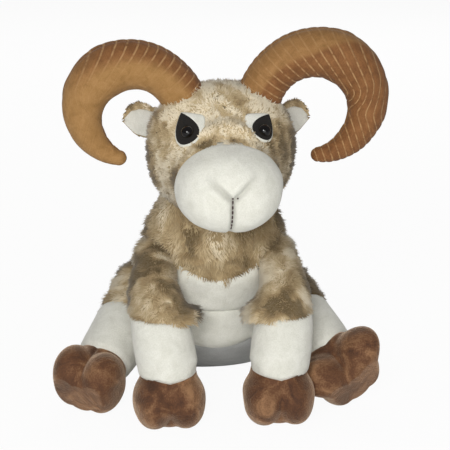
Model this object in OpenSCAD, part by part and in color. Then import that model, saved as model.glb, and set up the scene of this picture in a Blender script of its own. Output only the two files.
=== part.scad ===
// Sitting plush ram: a stuffed toy sewn from pile fabric, with curled horns of ribbed fabric.
// Millimetres. +Z is up, the toy faces -Y, and its own left side is +X.
// The origin is the middle of the flat seat that it rests on.

/* [Fabric] */
// Thickness of the pile fabric and its backing
fabric = 2; // [1.4:0.1:2.6]
// Gap between pieces that turn against each other
seam_gap = 0.3; // [0.3:0.05:0.7]
// Gap between a skin and the filling inside it
fill_gap = 0.25; // [0.15:0.05:0.4]

/* [Body] */
// Width of the flat seat
seat_w = 84; // [74:1:94]
// Depth of the flat seat
seat_d = 46; // [38:1:54]
// Width of the body at the belly
belly_w = 122; // [116:1:128]
// Depth of the body at the belly
belly_d = 106; // [100:1:112]
// Height of the fullest part of the belly
belly_z = 46; // [40:1:52]
// How far the belly's middle lies in front of the seat's middle
belly_front = 32; // [28:1:36]
// Width of the body at the chest
chest_w = 104; // [98:1:110]
// Depth of the body at the chest
chest_d = 86; // [80:1:92]
// Height of the chest
chest_z = 116; // [110:1:122]
// How far the chest's middle lies in front of the seat's middle
chest_front = 56; // [51:1:60]

/* [Neck] */
// Diameter of the round end of the neck that the head is sewn round
neck_ball_d = 84; // [78:1:88]
// Height of the middle of the neck
neck_z = 145; // [142:1:148]
// How far the neck's middle lies in front of the seat's middle
neck_front = 64; // [60:1:68]
// Farthest that the head nods down
nod_down = 8; // [4:1:10]
// Farthest that the head tips back
nod_up = 8; // [4:1:10]

/* [White panels] */
// Half width of the chest bib at its upper corners
bib_half_w = 28; // [24:1:32]
// Height of the bib's two upper corners
bib_corner_z = 104; // [100:1:108]
// Height of the middle of the bib's upper edge
bib_dip_z = 93; // [88:1:97]
// Height of the seam between the bib and the belly panel
bib_seam_z = 73; // [68:1:78]
// Half width of the belly panel
belly_panel_half_w = 42; // [36:1:46]
// Height of the seat panel's edge at the front of the belly
seat_edge_front_z = 43; // [38:1:48]
// Height of the seat panel's edge at the back
seat_edge_back_z = 16; // [12:1:22]

/* [Head] */
// Width of the head
head_w = 106; // [100:1:110]
// Height of the head
head_h = 96; // [92:1:100]
// Distance from the head's middle to its back
head_back = 49; // [45:1:52]
// How far the head's middle lies in front of the neck's middle
head_reach = 34; // [30:1:38]
// How far the head's middle lies above the neck's middle
head_rise = 45; // [42:1:48]
// How far the head's middle lies to the left of the neck's middle
head_side = 1.5; // [0:0.5:3]
// How square the head is across, 2 being an ellipse
head_fullness = 2.3; // [2:0.1:2.5]
// How far the nose points down, in degrees
head_pitch = 8; // [4:1:12]
// Distance from the head's middle to the muzzle seam
muzzle_seam = 46; // [42:1:50]
// Width of the muzzle
muzzle_w = 73; // [69:1:77]
// Height of the muzzle
muzzle_h = 60; // [56:1:64]
// Length of the muzzle in front of its seam
muzzle_len = 40; // [36:1:44]
// How far the muzzle's middle lies below the head's middle
muzzle_drop = 7; // [5:1:10]
// How square the muzzle's dome is, 2 being an ellipse
muzzle_fullness = 2.6; // [2.2:0.1:3]

/* [Eyes] */
// Distance of each eye from the middle of the face
eye_x = 25.5; // [24:0.5:27]
// Height of the eyes above the head's middle
eye_z = 23; // [20:1:25]
// Diameter of the plastic eye
eye_d = 9; // [8:0.5:11]
// Height of the plastic eye's dome
eye_dome = 4; // [3:0.5:5]
// Diameter of the eye's stem
stem_d = 4; // [3.5:0.25:4.5]
// Length of the eye's stem
stem_len = 13; // [12:0.5:15]
// Clearance round the stem in the cloth and the lock washer
stem_gap = 0.1; // [0.05:0.05:0.2]
// Diameter of the lock washer
washer_d = 13; // [11:0.5:14]
// Thickness of the lock washer
washer_t = 1.6; // [1.2:0.2:2]
// Thickness of the white eye patch
patch_t = 1; // [0.8:0.1:1.4]
// Width of the eye patch's corner
patch_w = 16; // [14:1:18]
// Length of the eye patch up to its corner
patch_len = 27; // [25:1:30]
// Lean of the eye patch's corner towards the middle of the face
patch_lean = 24; // [16:4:32]
// White rim that shows round the dark felt
patch_rim = 1.2; // [1:0.2:2]
// Thickness of the dark felt
felt_t = 1; // [0.8:0.1:1.4]
// Width of the dark felt
felt_w = 16; // [14:1:17]
// Length of the dark felt
felt_len = 24; // [22:1:25]
// Lean of the felt's tip away from the middle of the face
felt_lean = 40; // [30:5:50]

/* [Mouth] */
// Thickness of the embroidery thread
thread_d = 1.4; // [1.2:0.1:1.8]
// Number of stitches down the lip
lip_stitches = 7; // [6:1:8]
// Height of the first stitch above the muzzle's middle
lip_top = 5; // [3:1:7]
// Length of each stitch
stitch_len = 3; // [2.4:0.2:3.4]
// Spacing of the stitches
stitch_pitch = 3.9; // [3.7:0.1:4.1]

/* [Horns] */
// Diameter of the horn at its root
horn_root_d = 32; // [30:1:34]
// Diameter of the horn at its fullest
horn_full_d = 37; // [34:1:38]
// Diameter of the horn near its tip
horn_tip_d = 11; // [9:1:13]
// Radius of the left horn's curl
horn_curl_left = 34; // [32.5:0.5:36]
// Radius of the right horn's curl
horn_curl_right = 30.5; // [29:0.5:32]
// Angle of the curl at the left horn's root
horn_start_left = 162; // [158:1:165]
// Angle of the curl at the right horn's root
horn_start_right = 155; // [152:1:160]
// Extra radius of the curl at the root
horn_open = 9.5; // [8:0.5:11]
// Angle that the left horn turns through
horn_sweep_left = 254; // [248:1:258]
// Angle that the right horn turns through
horn_sweep_right = 233; // [227:1:239]
// How far the top of the curl lies behind the root
horn_back = 10; // [6:1:14]
// How far the tip comes forward of the root
horn_forward = 8; // [4:1:12]
// Distance of the horn's root behind the head's middle
horn_seat = 8; // [4:1:12]
// Angle of the horn's root from the top of the head
horn_lean = 31; // [29:1:34]
// How far the horns give each way at their seams, in degrees
horn_give = 8; // [4:1:8]

/* [Ears] */
// Length of the ear
ear_len = 28; // [25:1:29]
// Width of the ear
ear_w = 28; // [24:1:30]
// Thickness of the ear, both cloths and the wadding between
ear_t = 7; // [6:0.5:8]
// Distance of the ear's root behind the head's middle
ear_seat = 22; // [18:1:24]
// Angle of the ear's root from the top of the head
ear_lean = 72; // [68:1:76]
// How far the ears hang below level, degrees
ear_tilt = 40; // [35:1:45]
// How far the ears point backwards, in degrees
ear_sweep = 54; // [48:1:60]
// How far the ears flap each way, in degrees
ear_flap = 20; // [10:1:20]

/* [Front legs] */
// Distance of the shoulder from the middle
shoulder_x = 43.5; // [42:0.5:45]
// How far the shoulder lies in front of the seat's middle
shoulder_front = 70; // [68:1:73]
// Height of the shoulder
shoulder_z = 104; // [102:1:107]
// Diameter of the shoulder's round end
shoulder_d = 30; // [28:1:32]
// Diameter of the furry sleeve at its fullest
sleeve_d = 40; // [38:1:42]
// Diameter of the front leg at its ankle
front_leg_d = 42; // [40:1:44]
// Distance of the front hoof from the middle
front_hoof_x = 39; // [38:1:40]
// How far the front hoof lies in front of the seat's middle
front_hoof_front = 132; // [129:1:136]
// How far the elbows stand out from the middle
elbow_x = 48; // [46:1:50]
// Height at which the front leg bends
elbow_z = 80; // [76:1:84]
// Height of the sleeve's lower edge
sleeve_edge_z = 73; // [68:1:76]
// Farthest that the front legs swing forward
front_swing = 45; // [30:1:45]

/* [Hind legs] */
// Distance of the hip from the middle
hip_x = 48; // [46:1:50]
// How far the hip lies in front of the seat's middle
hip_front = 34; // [31:1:36]
// Height of the hip
hip_z = 66; // [63:1:68]
// Diameter of the hip's round end
hip_d = 52; // [48:1:54]
// Distance from the hip to the middle of the hind hoof
hind_len = 94; // [91:1:97]
// Diameter of the hind leg at its ankle
hind_leg_d = 41; // [38:1:43]
// Height of the middle of the left hind hoof
hind_hoof_z_left = 24.5; // [24:0.5:26]
// Height of the middle of the right hind hoof
hind_hoof_z_right = 22; // [21:0.5:24]
// How far the left hind leg points outwards
hind_splay_left = 30; // [27:1:33]
// How far the right hind leg points outwards
hind_splay_right = 33; // [29:1:36]
// How far the left hind hoof is rolled on its leg
hind_roll_left = 38; // [20:1:45]
// How far the right hind hoof is rolled on its leg
hind_roll_right = 8; // [0:1:20]
// Farthest that the hind legs are pulled outwards
hind_swing = 25; // [10:1:30]

/* [Hooves] */
// Height of the hoof at its sides
hoof_h = 38; // [36:1:41]
// How far the white leg dips into the hoof at the front
hoof_dip = 6; // [4:1:8]
// Width of one toe
toe_w = 29; // [27:1:31]
// Length of one toe, from heel to tip
toe_len = 48; // [45:1:51]
// Height of the toe's swell
toe_h = 38; // [36:1:40]
// Distance between the middles of the two toes
toe_spacing = 22; // [20:1:24]

/* [Tail] */
// Length of the tail
tail_len = 34; // [28:1:40]
// Width of the tail
tail_w = 20; // [16:1:24]
// Thickness of the tail
tail_t = 9; // [8:0.5:11]
// Height of the tail's root
tail_z = 58; // [54:1:64]
// How far the tail flips up, in degrees
tail_flip = 40; // [20:1:45]

/* [Filling] */
// Width of the pellet bag in the seat
bag_w = 84; // [76:1:90]
// Depth of the pellet bag
bag_d = 52; // [44:1:58]
// Height of the pellet bag
bag_h = 26; // [22:1:30]

/* [Hidden] */

LEFT = 1;
RIGHT = -1;

// Axes that the head nods, the front legs swing, the hind legs splay and the horns lean about
NOD = [1, 0, 0];
SWING = [1, 0, 0];
SPLAY = [0, 0, 1];
LEAN = [0, 1, 0];

// Sides of a lofted ring on the body and head, and on the limbs and horns
body_sides = 16;
limb_sides = 10;
// Facets round a ball-shaped seam, and round the hollow inside it
ball_sides = 16;
hollow_sides = 8;
// Longer than the whole toy, for cutting solids
reach = 400;

tan_pile = "#b29a74";
white_pile = "#e6e6df";
brown_pile = "#7d573d";
horn_cloth = "#a87344";
filling_white = "#f4f2ec";

neck = [0, -neck_front, neck_z];
head_middle = neck + [head_side, -head_reach, head_rise];
shoulder = [shoulder_x, -shoulder_front, shoulder_z];
hip = [hip_x, -hip_front, hip_z];

// Blends and vectors
function blend(a, b, k) = a + (b - a) * k;
function ease(t) = t * t * (3 - 2 * t);
function unit(v) = v / norm(v);

// Radius of the socket that lets a ball of radius r turn about its poles
function socket_r(r) = r / cos(180 / ball_sides) + seam_gap;

// Rings of points: level, upright across Y, and square to any direction
function turn_of(k, n) = 360 * (k + 0.5) / n;
function level_ring(c, hw, hd, n = body_sides) =
  [for (k = [0:n - 1]) c + [hw * cos(turn_of(k, n)), hd * sin(turn_of(k, n)), 0]];
function full(v) = sign(v) * pow(abs(v), 2 / head_fullness);
function upright_ring(c, hw, hh, n = body_sides) =
  [for (k = [0:n - 1]) let (a = turn_of(k, n)) c + [hw * full(cos(a)), 0, hh * full(sin(a))]];
function square_ring(c, along, flat, hw, hh, n = limb_sides) =
  let (b = unit(cross(along, flat)), a = unit(cross(b, along)))
  [for (k = [0:n - 1]) c + a * hw * cos(turn_of(k, n)) + b * hh * sin(turn_of(k, n))];

// Solid between rings that follow each other
module loft(rings) {
  n = len(rings[0]);
  for (i = [0:len(rings) - 2])
    hull()
      polyhedron(
        points = concat(rings[i], rings[i + 1]),
        faces = concat(
          [[for (k = [0:n - 1]) k], [for (k = [n - 1:-1:0]) n + k]],
          [for (k = [0:n - 1]) [(k + 1) % n, k, n + k]],
          [for (k = [0:n - 1]) [(k + 1) % n, n + k, n + (k + 1) % n]]
        )
      );
}

// One closed tube through rings that need not be level. Two that share a wall take opposite diagonals
module tube(rings, flip = false) {
  n = len(rings[0]);
  last = len(rings) - 1;
  d = flip ? 1 : 0;
  function corner(i, k) = i * n + k % n;
  polyhedron(
    points = [for (r = rings) each r],
    faces = concat(
      [[for (k = [0:n - 1]) k], [for (k = [n - 1:-1:0]) last * n + k]],
      [for (i = [0:last - 1], k = [0:n - 1]) [corner(i, k + 1), corner(i, k), corner(i + 1, k + d)]],
      [for (i = [0:last - 1], k = [0:n - 1]) [corner(i, k + 1 - d), corner(i + 1, k), corner(i + 1, k + 1)]]
    )
  );
}

// A ball whose poles lie along the axis that it turns about
module ball(r, axis, n = ball_sides) {
  tilt = axis == [1, 0, 0] ? [0, 90, 0] : axis == [0, 1, 0] ? [90, 0, 0] : [0, 0, 0];
  rotate(tilt) sphere(r, $fn = n);
}

// The socket for a ball of radius r, half a facet round from it so that the two seat closely
module socket(r, axis) {
  rotate(180 / ball_sides, axis) ball(socket_r(r), axis);
}

// A coarse ball with a socket for radius r wholly inside it
module room(r) {
  sphere(socket_r(r) / pow(cos(180 / hollow_sides), 2), $fn = hollow_sides);
}

// Turns children about an axis through a point
module turned(p, axis, angle) {
  translate(p) rotate(angle, axis) translate(-p) children();
}

// Left as drawn, right mirrored
module on_side(side) {
  if (side == RIGHT)
    mirror([1, 0, 0]) children();
  else
    children();
}

// Body: rows of [middle in front of the seat, half width, half depth] at each height
seat_row = [0, seat_w / 2, seat_d / 2];
belly_row = [belly_front, belly_w / 2, belly_d / 2];
chest_row = [chest_front, chest_w / 2, chest_d / 2];
neck_row = [neck_front, neck_ball_d / 2 - fabric, neck_ball_d / 2 - fabric];

function body_row(z) =
  z <= belly_z ? blend(seat_row, belly_row, sin(90 * z / belly_z))
  : z <= chest_z ? blend(belly_row, chest_row, ease((z - belly_z) / (chest_z - belly_z)))
  : blend(chest_row, neck_row, pow((z - chest_z) / (neck_z - chest_z), 2));

body_levels = concat(
  [for (k = [0, 0.15, 0.5, 1]) k * belly_z],
  [for (k = [0.35, 0.7, 1]) blend(belly_z, chest_z, k)],
  [for (k = [0.5, 1]) blend(chest_z, neck_z, k)]
);

// The body up to its neck, grown by g all round
module torso_form(g = 0) {
  loft([for (z = body_levels) let (r = body_row(z))
    level_ring([0, -r[0], max(z, -g)], r[1] + g, r[2] + g)]);
}

// The whole body with the round end of its neck
module body_form(g = 0, neck_sides = ball_sides) {
  torso_form(g);
  translate(neck) ball(neck_ball_d / 2 + g, NOD, neck_sides);
}

module body_shell() {
  difference() {
    body_form();
    body_form(-fabric, hollow_sides);
    for (side = [LEFT, RIGHT]) on_side(side) {
      translate(shoulder) socket(shoulder_d / 2, SWING);
      translate(hip) socket(hip_d / 2, SPLAY);
    }
    tail_root(seam_gap);
  }
}

// Cutters for the white panels, seen from the front
module front_cut(outline) {
  translate([0, -chest_front, 0]) rotate([90, 0, 0]) linear_extrude(reach) polygon(outline);
}

module bib_cut() {
  front_cut([
    [-belly_panel_half_w, bib_seam_z], [belly_panel_half_w, bib_seam_z],
    [bib_half_w, bib_corner_z], [0, bib_dip_z], [-bib_half_w, bib_corner_z]
  ]);
}

module belly_cut() {
  front_cut([
    [-belly_panel_half_w, 0], [belly_panel_half_w, 0],
    [belly_panel_half_w, bib_seam_z], [-belly_panel_half_w, bib_seam_z]
  ]);
}

// Everything under the sloping edge of the seat panel
module seat_cut() {
  front = belly_front + belly_d / 2;
  back = seat_d / 2;
  slope = atan2(seat_edge_front_z - seat_edge_back_z, front + back);
  translate([0, back, seat_edge_back_z]) rotate([-slope, 0, 0])
    translate([-reach, -reach, -2 * reach]) cube(2 * reach);
}

module body_skin() {
  color(tan_pile) difference() {
    body_shell();
    bib_cut();
    belly_cut();
    seat_cut();
  }
}

module chest_bib() {
  color(white_pile) intersection() {
    body_shell();
    bib_cut();
  }
}

module belly_panel() {
  color(white_pile) difference() {
    intersection() {
      body_shell();
      belly_cut();
    }
    seat_cut();
  }
}

module seat_panel() {
  color(white_pile) intersection() {
    body_shell();
    seat_cut();
  }
}

// Bag of pellets that weights the seat: a flat cushion
module bag_form(g = 0) {
  middle_z = fabric + fill_gap + bag_h / 2;
  translate([0, -belly_front / 4, middle_z])
    loft([for (a = [-75, -50, -20, 20, 50, 75])
      level_ring([0, 0, (bag_h / 2 + g) * sin(a)], (bag_w / 2 + g) * pow(cos(a), 0.6),
        (bag_d / 2 + g) * pow(cos(a), 0.6), limb_sides)]);
}

module pellet_bag() {
  color(filling_white) bag_form();
}

module body_filling() {
  color(filling_white) difference() {
    body_form(-fabric - fill_gap, hollow_sides);
    for (side = [LEFT, RIGHT]) on_side(side) {
      translate(shoulder) room(shoulder_d / 2);
      translate(hip) room(hip_d / 2);
    }
    tail_root(seam_gap);
    bag_form(fill_gap);
    translate([0, 0, -bag_h / 4]) bag_form(fill_gap);
  }
}

// Tail: a flat padded tongue, hinged on a level roll across the back
tail_root_r = tail_t / 2;
tail_row = body_row(tail_z);
tail_hinge = [0, tail_row[2] - tail_row[0], tail_z];

module tail_root(g = 0) {
  translate(tail_hinge) rotate([0, 90, 0])
    cylinder(r = tail_root_r + g, h = tail_w + 2 * g, center = true, $fn = ball_sides);
}

module tail() {
  // Places along the tail with their shares of its width
  stations = [[0, 0.96], [0.2, 1], [0.45, 1.1], [0.7, 1], [0.88, 0.72], [1, 0.3]];
  color(tan_pile) union() {
    tail_root();
    difference() {
      translate(tail_hinge)
        tube([for (s = stations)
          square_ring([0, 0.5 * tail_len * s[0], -0.86 * tail_len * s[0]], [0, 0.5, -0.86], [1, 0, 0],
            tail_w / 2 * s[1], tail_t / 2 * min(1, s[1]))]);
      for (angle = [0, tail_flip])
        turned(tail_hinge, [1, 0, 0], -angle) torso_form(seam_gap);
    }
  }
}

// Head, drawn round its own middle with the nose towards -Y
skull_row = [head_w / 2, head_h / 2, 0];
muzzle_row = [muzzle_w / 2, muzzle_h / 2, -muzzle_drop];

// Half width, half height and drop of the head between its middle and the muzzle seam
function face_row(s) = blend(skull_row, muzzle_row, ease(min(max(s / muzzle_seam, 0), 1)));
// Half width and half height of the back of the head at a distance behind its middle
function back_row(s) = skull_row * sqrt(1 - pow(s / head_back, 2));
// Distance in front of the head's middle of the muzzle's skin at x, and z from the muzzle's middle
function muzzle_front(x, z) =
  let (k = min(1, full_norm(x / muzzle_row[0], z / muzzle_row[1])))
  muzzle_seam + muzzle_len * pow(1 - pow(k, muzzle_fullness), 1 / muzzle_fullness);

module head_form(g = 0) {
  squareness = 2 / muzzle_fullness;
  back = [for (a = [80, 54, 27]) let (r = skull_row + [g, g, 0])
    upright_ring([0, (head_back + g) * sin(a), 0], r[0] * cos(a), r[1] * cos(a))];
  face = [for (k = [0, 0.25, 0.5, 0.75, 1]) let (r = face_row(k * muzzle_seam) + [g, g, 0])
    upright_ring([0, -k * muzzle_seam, r[2]], r[0], r[1])];
  front = [for (a = [22, 42, 62, 80]) let (r = muzzle_row + [g, g, 0])
    upright_ring([0, -muzzle_seam - (muzzle_len + g) * pow(sin(a), squareness), r[2]],
      r[0] * pow(cos(a), squareness), r[1] * pow(cos(a), squareness))];
  loft(concat(back, face, front));
}

module in_head() {
  translate(head_middle) rotate([head_pitch, 0, 0]) children();
}

// The body as the head meets it between its two limits, in the head's own place
module body_below_head() {
  for (angle = [-nod_up, nod_down])
    turned(neck, NOD, -angle) torso_form(seam_gap);
  translate(neck) socket(neck_ball_d / 2, NOD);
}

// Seats on the head's skin for the horns and ears, on the left
function head_seat(s, lean) = let (r = back_row(s)) [r[0] * full(sin(lean)), s, r[1] * full(cos(lean))];
horn_root = head_seat(horn_seat, horn_lean);
ear_root = head_seat(ear_seat, ear_lean);

// Where an eye sits: the distance in front of the head's middle, by halving
function full_norm(x, z) = pow(pow(abs(x), head_fullness) + pow(abs(z), head_fullness), 1 / head_fullness);
function eye_miss(s) = let (r = face_row(s)) full_norm(eye_x / r[0], (eye_z - r[2]) / r[1]) - 1;
function halved(lo, hi, n) =
  n == 0 ? (lo + hi) / 2
  : let (m = (lo + hi) / 2) eye_miss(m) < 0 ? halved(m, hi, n - 1) : halved(lo, m, n - 1);
eye_s = halved(0, muzzle_seam, 20);
eye_point = [eye_x, -eye_s, eye_z];
// The head's outward direction at the eye, from two lines in its skin
eye_row = face_row(eye_s);
eye_angle = atan2(pow((eye_z - eye_row[2]) / eye_row[1], head_fullness / 2),
  pow(eye_x / eye_row[0], head_fullness / 2));
eye_step = 0.5;
function on_ring(r, s, a) = [r[0] * full(cos(a)), -s, r[1] * full(sin(a)) + r[2]];
eye_along = unit(on_ring(face_row(eye_s + eye_step), eye_s + eye_step, eye_angle)
  - on_ring(eye_row, eye_s, eye_angle));
eye_round = unit(on_ring(eye_row, eye_s, eye_angle + eye_step) - on_ring(eye_row, eye_s, eye_angle));
eye_out = unit(cross(eye_round, eye_along));
eye_up = unit([0, 0, 1] - eye_out * eye_out[2]);
eye_right_hand = cross(eye_up, eye_out);

// Places children at the left eye, with +Z out of the face and +Y up it
module at_eye(side) {
  in_head() on_side(side)
    multmatrix([
      [eye_right_hand[0], eye_up[0], eye_out[0], eye_point[0]],
      [eye_right_hand[1], eye_up[1], eye_out[1], eye_point[1]],
      [eye_right_hand[2], eye_up[2], eye_out[2], eye_point[2]],
      [0, 0, 0, 1]
    ])
      children();
}

module stem_hole() {
  cylinder(d = stem_d + 2 * stem_gap, h = reach / 4, center = true, $fn = ball_sides);
}

// A drop outline with its round end at the bottom, leaning by an angle
module drop(w, length, lean) {
  tip_r = w / 12;
  rotate(lean) translate([0, -(length - w) / 4]) hull() {
    circle(d = w, $fn = ball_sides);
    translate([0, length - w / 2 - tip_r]) circle(r = tip_r, $fn = ball_sides);
  }
}

module felt_outline(rim) {
  drop(felt_w + 2 * rim, felt_len + 2 * rim, -felt_lean);
}

// A layer of cloth on the face, in the outline of the children
module eye_cloth(side, low, thick) {
  cut_depth = head_back / 2;
  difference() {
    intersection() {
      in_head() head_form(low + thick);
      at_eye(side) translate([0, 0, -cut_depth / 2]) linear_extrude(cut_depth) children();
    }
    in_head() head_form(low);
    at_eye(side) stem_hole();
  }
}

module eye_patch(side) {
  color(white_pile) eye_cloth(side, 0, patch_t) hull() {
    felt_outline(patch_rim);
    drop(patch_w, patch_len, patch_lean);
  }
}

module eye_felt(side) {
  color("#262019") difference() {
    eye_cloth(side, patch_t, felt_t) felt_outline(0);
    // The eye presses the felt flat
    at_eye(side) translate([0, 0, patch_t + felt_t + seam_gap / 2])
      cylinder(d = eye_d + 2 * seam_gap, h = eye_dome, $fn = ball_sides);
  }
}

// Plastic eye: a dome on a ridged stem that the lock washer grips
module eye(side) {
  ridge = stem_d / 12;
  ridges = 6;
  ridge_pitch = stem_len / (ridges + 2);
  color("#0d0b0a") at_eye(side) translate([0, 0, patch_t + felt_t + seam_gap]) {
    intersection() {
      translate([0, 0, eye_dome - dome_r()]) sphere(dome_r(), $fn = 64);
      cylinder(d = eye_d, h = eye_dome, $fn = 64);
    }
    rotate_extrude($fn = 64) polygon(concat(
      [[0, 0], [stem_d / 2, 0]],
      [for (k = [1:ridges], j = [0, 1])
        [stem_d / 2 - (1 - j) * ridge, -(k + 1 - j * 0.4) * ridge_pitch]],
      [[stem_d / 2 - ridge, -stem_len], [0, -stem_len]]
    ));
  }
}
// Radius of the sphere whose cap is as wide and as high as the eye's dome
function dome_r() = (pow(eye_d / 2, 2) + pow(eye_dome, 2)) / (2 * eye_dome);

module eye_washer(side) {
  color("#d8d8d4") at_eye(side) translate([0, 0, -fabric - fill_gap - washer_t - washer_sag()])
    difference() {
      cylinder(d = washer_d, h = washer_t, $fn = 64);
      translate([0, 0, -washer_t]) cylinder(d = stem_d + 2 * stem_gap, h = 3 * washer_t, $fn = 64);
    }
}
// How far the curved skin's inside drops away under the washer's rim
function washer_sag() = pow(washer_d / 2, 2) / (2 * muzzle_h / 2) * 0.5;

// Room in the filling for the stem and its washer
module eye_pocket() {
  translate([0, 0, -stem_len - fill_gap])
    cylinder(d = washer_d + 2 * fill_gap, h = stem_len, $fn = ball_sides);
}

module head_cuts() {
  body_below_head();
  in_head() for (side = [LEFT, RIGHT]) on_side(side) {
    translate(horn_root) socket(horn_root_d / 2, LEAN);
    ear_place() ear_roll(seam_gap);
  }
}

module head_shell() {
  difference() {
    in_head() head_form();
    in_head() head_form(-fabric);
    head_cuts();
    for (side = [LEFT, RIGHT]) at_eye(side) stem_hole();
  }
}

// Everything in front of the muzzle seam
module muzzle_cut() {
  in_head() translate([-reach / 2, -reach - muzzle_seam, -reach / 2]) cube(reach);
}

module head_skin() {
  color(tan_pile) difference() {
    head_shell();
    muzzle_cut();
  }
}

module muzzle() {
  color(white_pile) intersection() {
    head_shell();
    muzzle_cut();
  }
}

module head_filling() {
  color(filling_white) difference() {
    in_head() head_form(-fabric - fill_gap);
    translate(neck) room(neck_ball_d / 2);
    in_head() for (side = [LEFT, RIGHT]) on_side(side) {
      translate(horn_root) room(horn_root_d / 2);
      ear_place() ear_roll(seam_gap);
    }
    for (side = [LEFT, RIGHT]) at_eye(side) eye_pocket();
  }
}

// Embroidered lip line: a row of stitches down the middle of the muzzle, and one each side of the nose
module stitch(from, to) {
  hull() for (p = [from, to])
    translate([p[0], -muzzle_front(p[0], p[1]), p[1] - muzzle_drop]) sphere(d = thread_d, $fn = 6);
}

module mouth_stitching() {
  nose_x = 1.6 * thread_d;
  color("#4a3430") difference() {
    in_head() {
      for (k = [0:lip_stitches - 1])
        stitch([0, lip_top - k * stitch_pitch], [0, lip_top - k * stitch_pitch - stitch_len]);
      for (x = [-nose_x, nose_x])
        stitch([x, lip_top + stitch_pitch / 2], [x * 1.5, lip_top + stitch_pitch]);
    }
    in_head() head_form();
  }
}

// Horns: a tube that tapers along a curl, in its own place with the root at the origin
function horn_start(side) = side == LEFT ? horn_start_left : horn_start_right;
function horn_radius(side, t) =
  (side == LEFT ? horn_curl_left : horn_curl_right) + horn_open * pow(1 - t, 3);
function horn_angle(side, t) = horn_start(side) - (side == LEFT ? horn_sweep_left : horn_sweep_right) * t;
function horn_point(side, t) =
  let (a = horn_angle(side, t), r = horn_radius(side, t), r0 = horn_radius(side, 0))
  [r * cos(a) - r0 * cos(horn_start(side)), horn_back * sin(180 * t) - horn_forward * t,
    r * sin(a) - r0 * sin(horn_start(side))];
function horn_along(side, t) = unit(horn_point(side, t + 0.01) - horn_point(side, t - 0.01));
// Where along the curl the horn is fullest
horn_full_at = 0.4;
function horn_half(t) =
  t < horn_full_at ? blend(horn_root_d, horn_full_d, ease(t / horn_full_at)) / 2
  : blend(horn_full_d, horn_tip_d, pow((t - horn_full_at) / (1 - horn_full_at), 1.4)) / 2;
horn_steps = 12;

// A ring of the horn at a place along it, whole or over the arc of one of its two panels
function horn_ring(side, t, r, from = 0, arc = 360) =
  let (along = horn_along(side, t), b = unit(cross(along, [0, 1, 0])), a = unit(cross(b, along)),
    n = round(limb_sides * arc / 360))
  [for (k = [0:arc < 360 ? n : n - 1]) let (turn = from + arc * k / n)
    horn_point(side, t) + r * (a * cos(turn) + b * sin(turn))];

// The horn up to its round tip
function horn_rings(side, from = 0, arc = 360) =
  let (tip_r = horn_tip_d / 2)
  concat(
    [for (i = [0:horn_steps]) horn_ring(side, i / horn_steps, horn_half(i / horn_steps), from, arc)],
    [for (k = [40, 78]) [for (p = horn_ring(side, 1, tip_r * cos(k), from, arc))
      p + horn_along(side, 1) * tip_r * sin(k)]]
  );

// The hollow inside the horn's two panels, or the filling in it
module horn_inside(side, g) {
  // The seam between the panels crosses the middle of a facet
  turn = 90 + 180 / limb_sides;
  tube([for (i = [1.5:2:horn_steps]) let (t = i / horn_steps) horn_ring(side, t, horn_half(t) - g, turn)]);
}

module in_horn(side) {
  in_head() on_side(side) translate(horn_root) children();
}

// The head as the horn meets it at its limits, in the horn's own place
module head_below_horn() {
  for (angle = [-horn_give, horn_give])
    rotate(-angle, LEAN) translate(-horn_root) head_form(seam_gap);
}

// The panel towards the face, sewn round the root
module horn_front(side) {
  color(horn_cloth) in_horn(side) difference() {
    tube(horn_rings(side, 90, 180));
    head_below_horn();
    ball(horn_root_d / 2, LEAN);
    horn_inside(side, fabric);
  }
}

// The panel away from the face, with the round root that sits in the head
module horn_back(side) {
  color(horn_cloth) in_horn(side) difference() {
    union() {
      difference() {
        tube(horn_rings(side, -90, 180), true);
        head_below_horn();
      }
      ball(horn_root_d / 2, LEAN);
    }
    horn_inside(side, fabric);
  }
}

module horn_filling(side) {
  color(filling_white) in_horn(side) horn_inside(side, fabric + fill_gap);
}

// Ears: a leaf that curls forward, hinged on a roll along its root. Drawn along +X, lining to -Y
ear_root_w = 0.62 * ear_w;

module ear_place() {
  translate(ear_root) rotate([0, ear_tilt, ear_sweep]) children();
}

module ear_roll(g = 0) {
  cylinder(d = ear_t + 2 * g, h = ear_root_w + 2 * g, center = true, $fn = limb_sides);
}

module ear_form() {
  // Places along the ear with their shares of its width and thickness
  stations = [
    [0, 0.62, 1], [0.2, 0.87, 1], [0.45, 1, 1],
    [0.7, 0.85, 0.85], [0.9, 0.47, 0.6], [1, 0.12, 0.3]
  ];
  cup = ear_t;
  tube([for (s = stations)
    square_ring([ear_len * s[0], -cup * s[0] * s[0], 0], [1, -2 * s[0] * cup / ear_len, 0], [0, 0, 1],
      ear_w / 2 * s[1], ear_t / 2 * s[2])]);
}

module ear_solid() {
  difference() {
    ear_form();
    for (share = [-1, -0.5, 0, 0.5, 1])
      rotate([0, 0, -share * ear_flap]) rotate([0, -ear_tilt, 0]) rotate([0, 0, -ear_sweep])
        translate(-ear_root) head_form(seam_gap);
  }
  ear_roll();
}

// The sheet between the ear's back and its lining, which follows the ear's curl
module ear_lining_half() {
  cup = ear_t;
  tube([for (k = [-1:7]) let (s = k / 6, c = [ear_len * s, -cup * s * abs(s), 0])
    [c + [0, 0, ear_w], c + [0, -ear_w, ear_w], c - [0, ear_w, ear_w], c - [0, 0, ear_w]]]);
}

module in_ear(side) {
  in_head() on_side(side) ear_place() children();
}

module ear_back(side) {
  color(tan_pile) in_ear(side) difference() {
    ear_solid();
    ear_lining_half();
  }
}

module ear_lining(side) {
  color(white_pile) in_ear(side) intersection() {
    ear_solid();
    ear_lining_half();
  }
}

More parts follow.
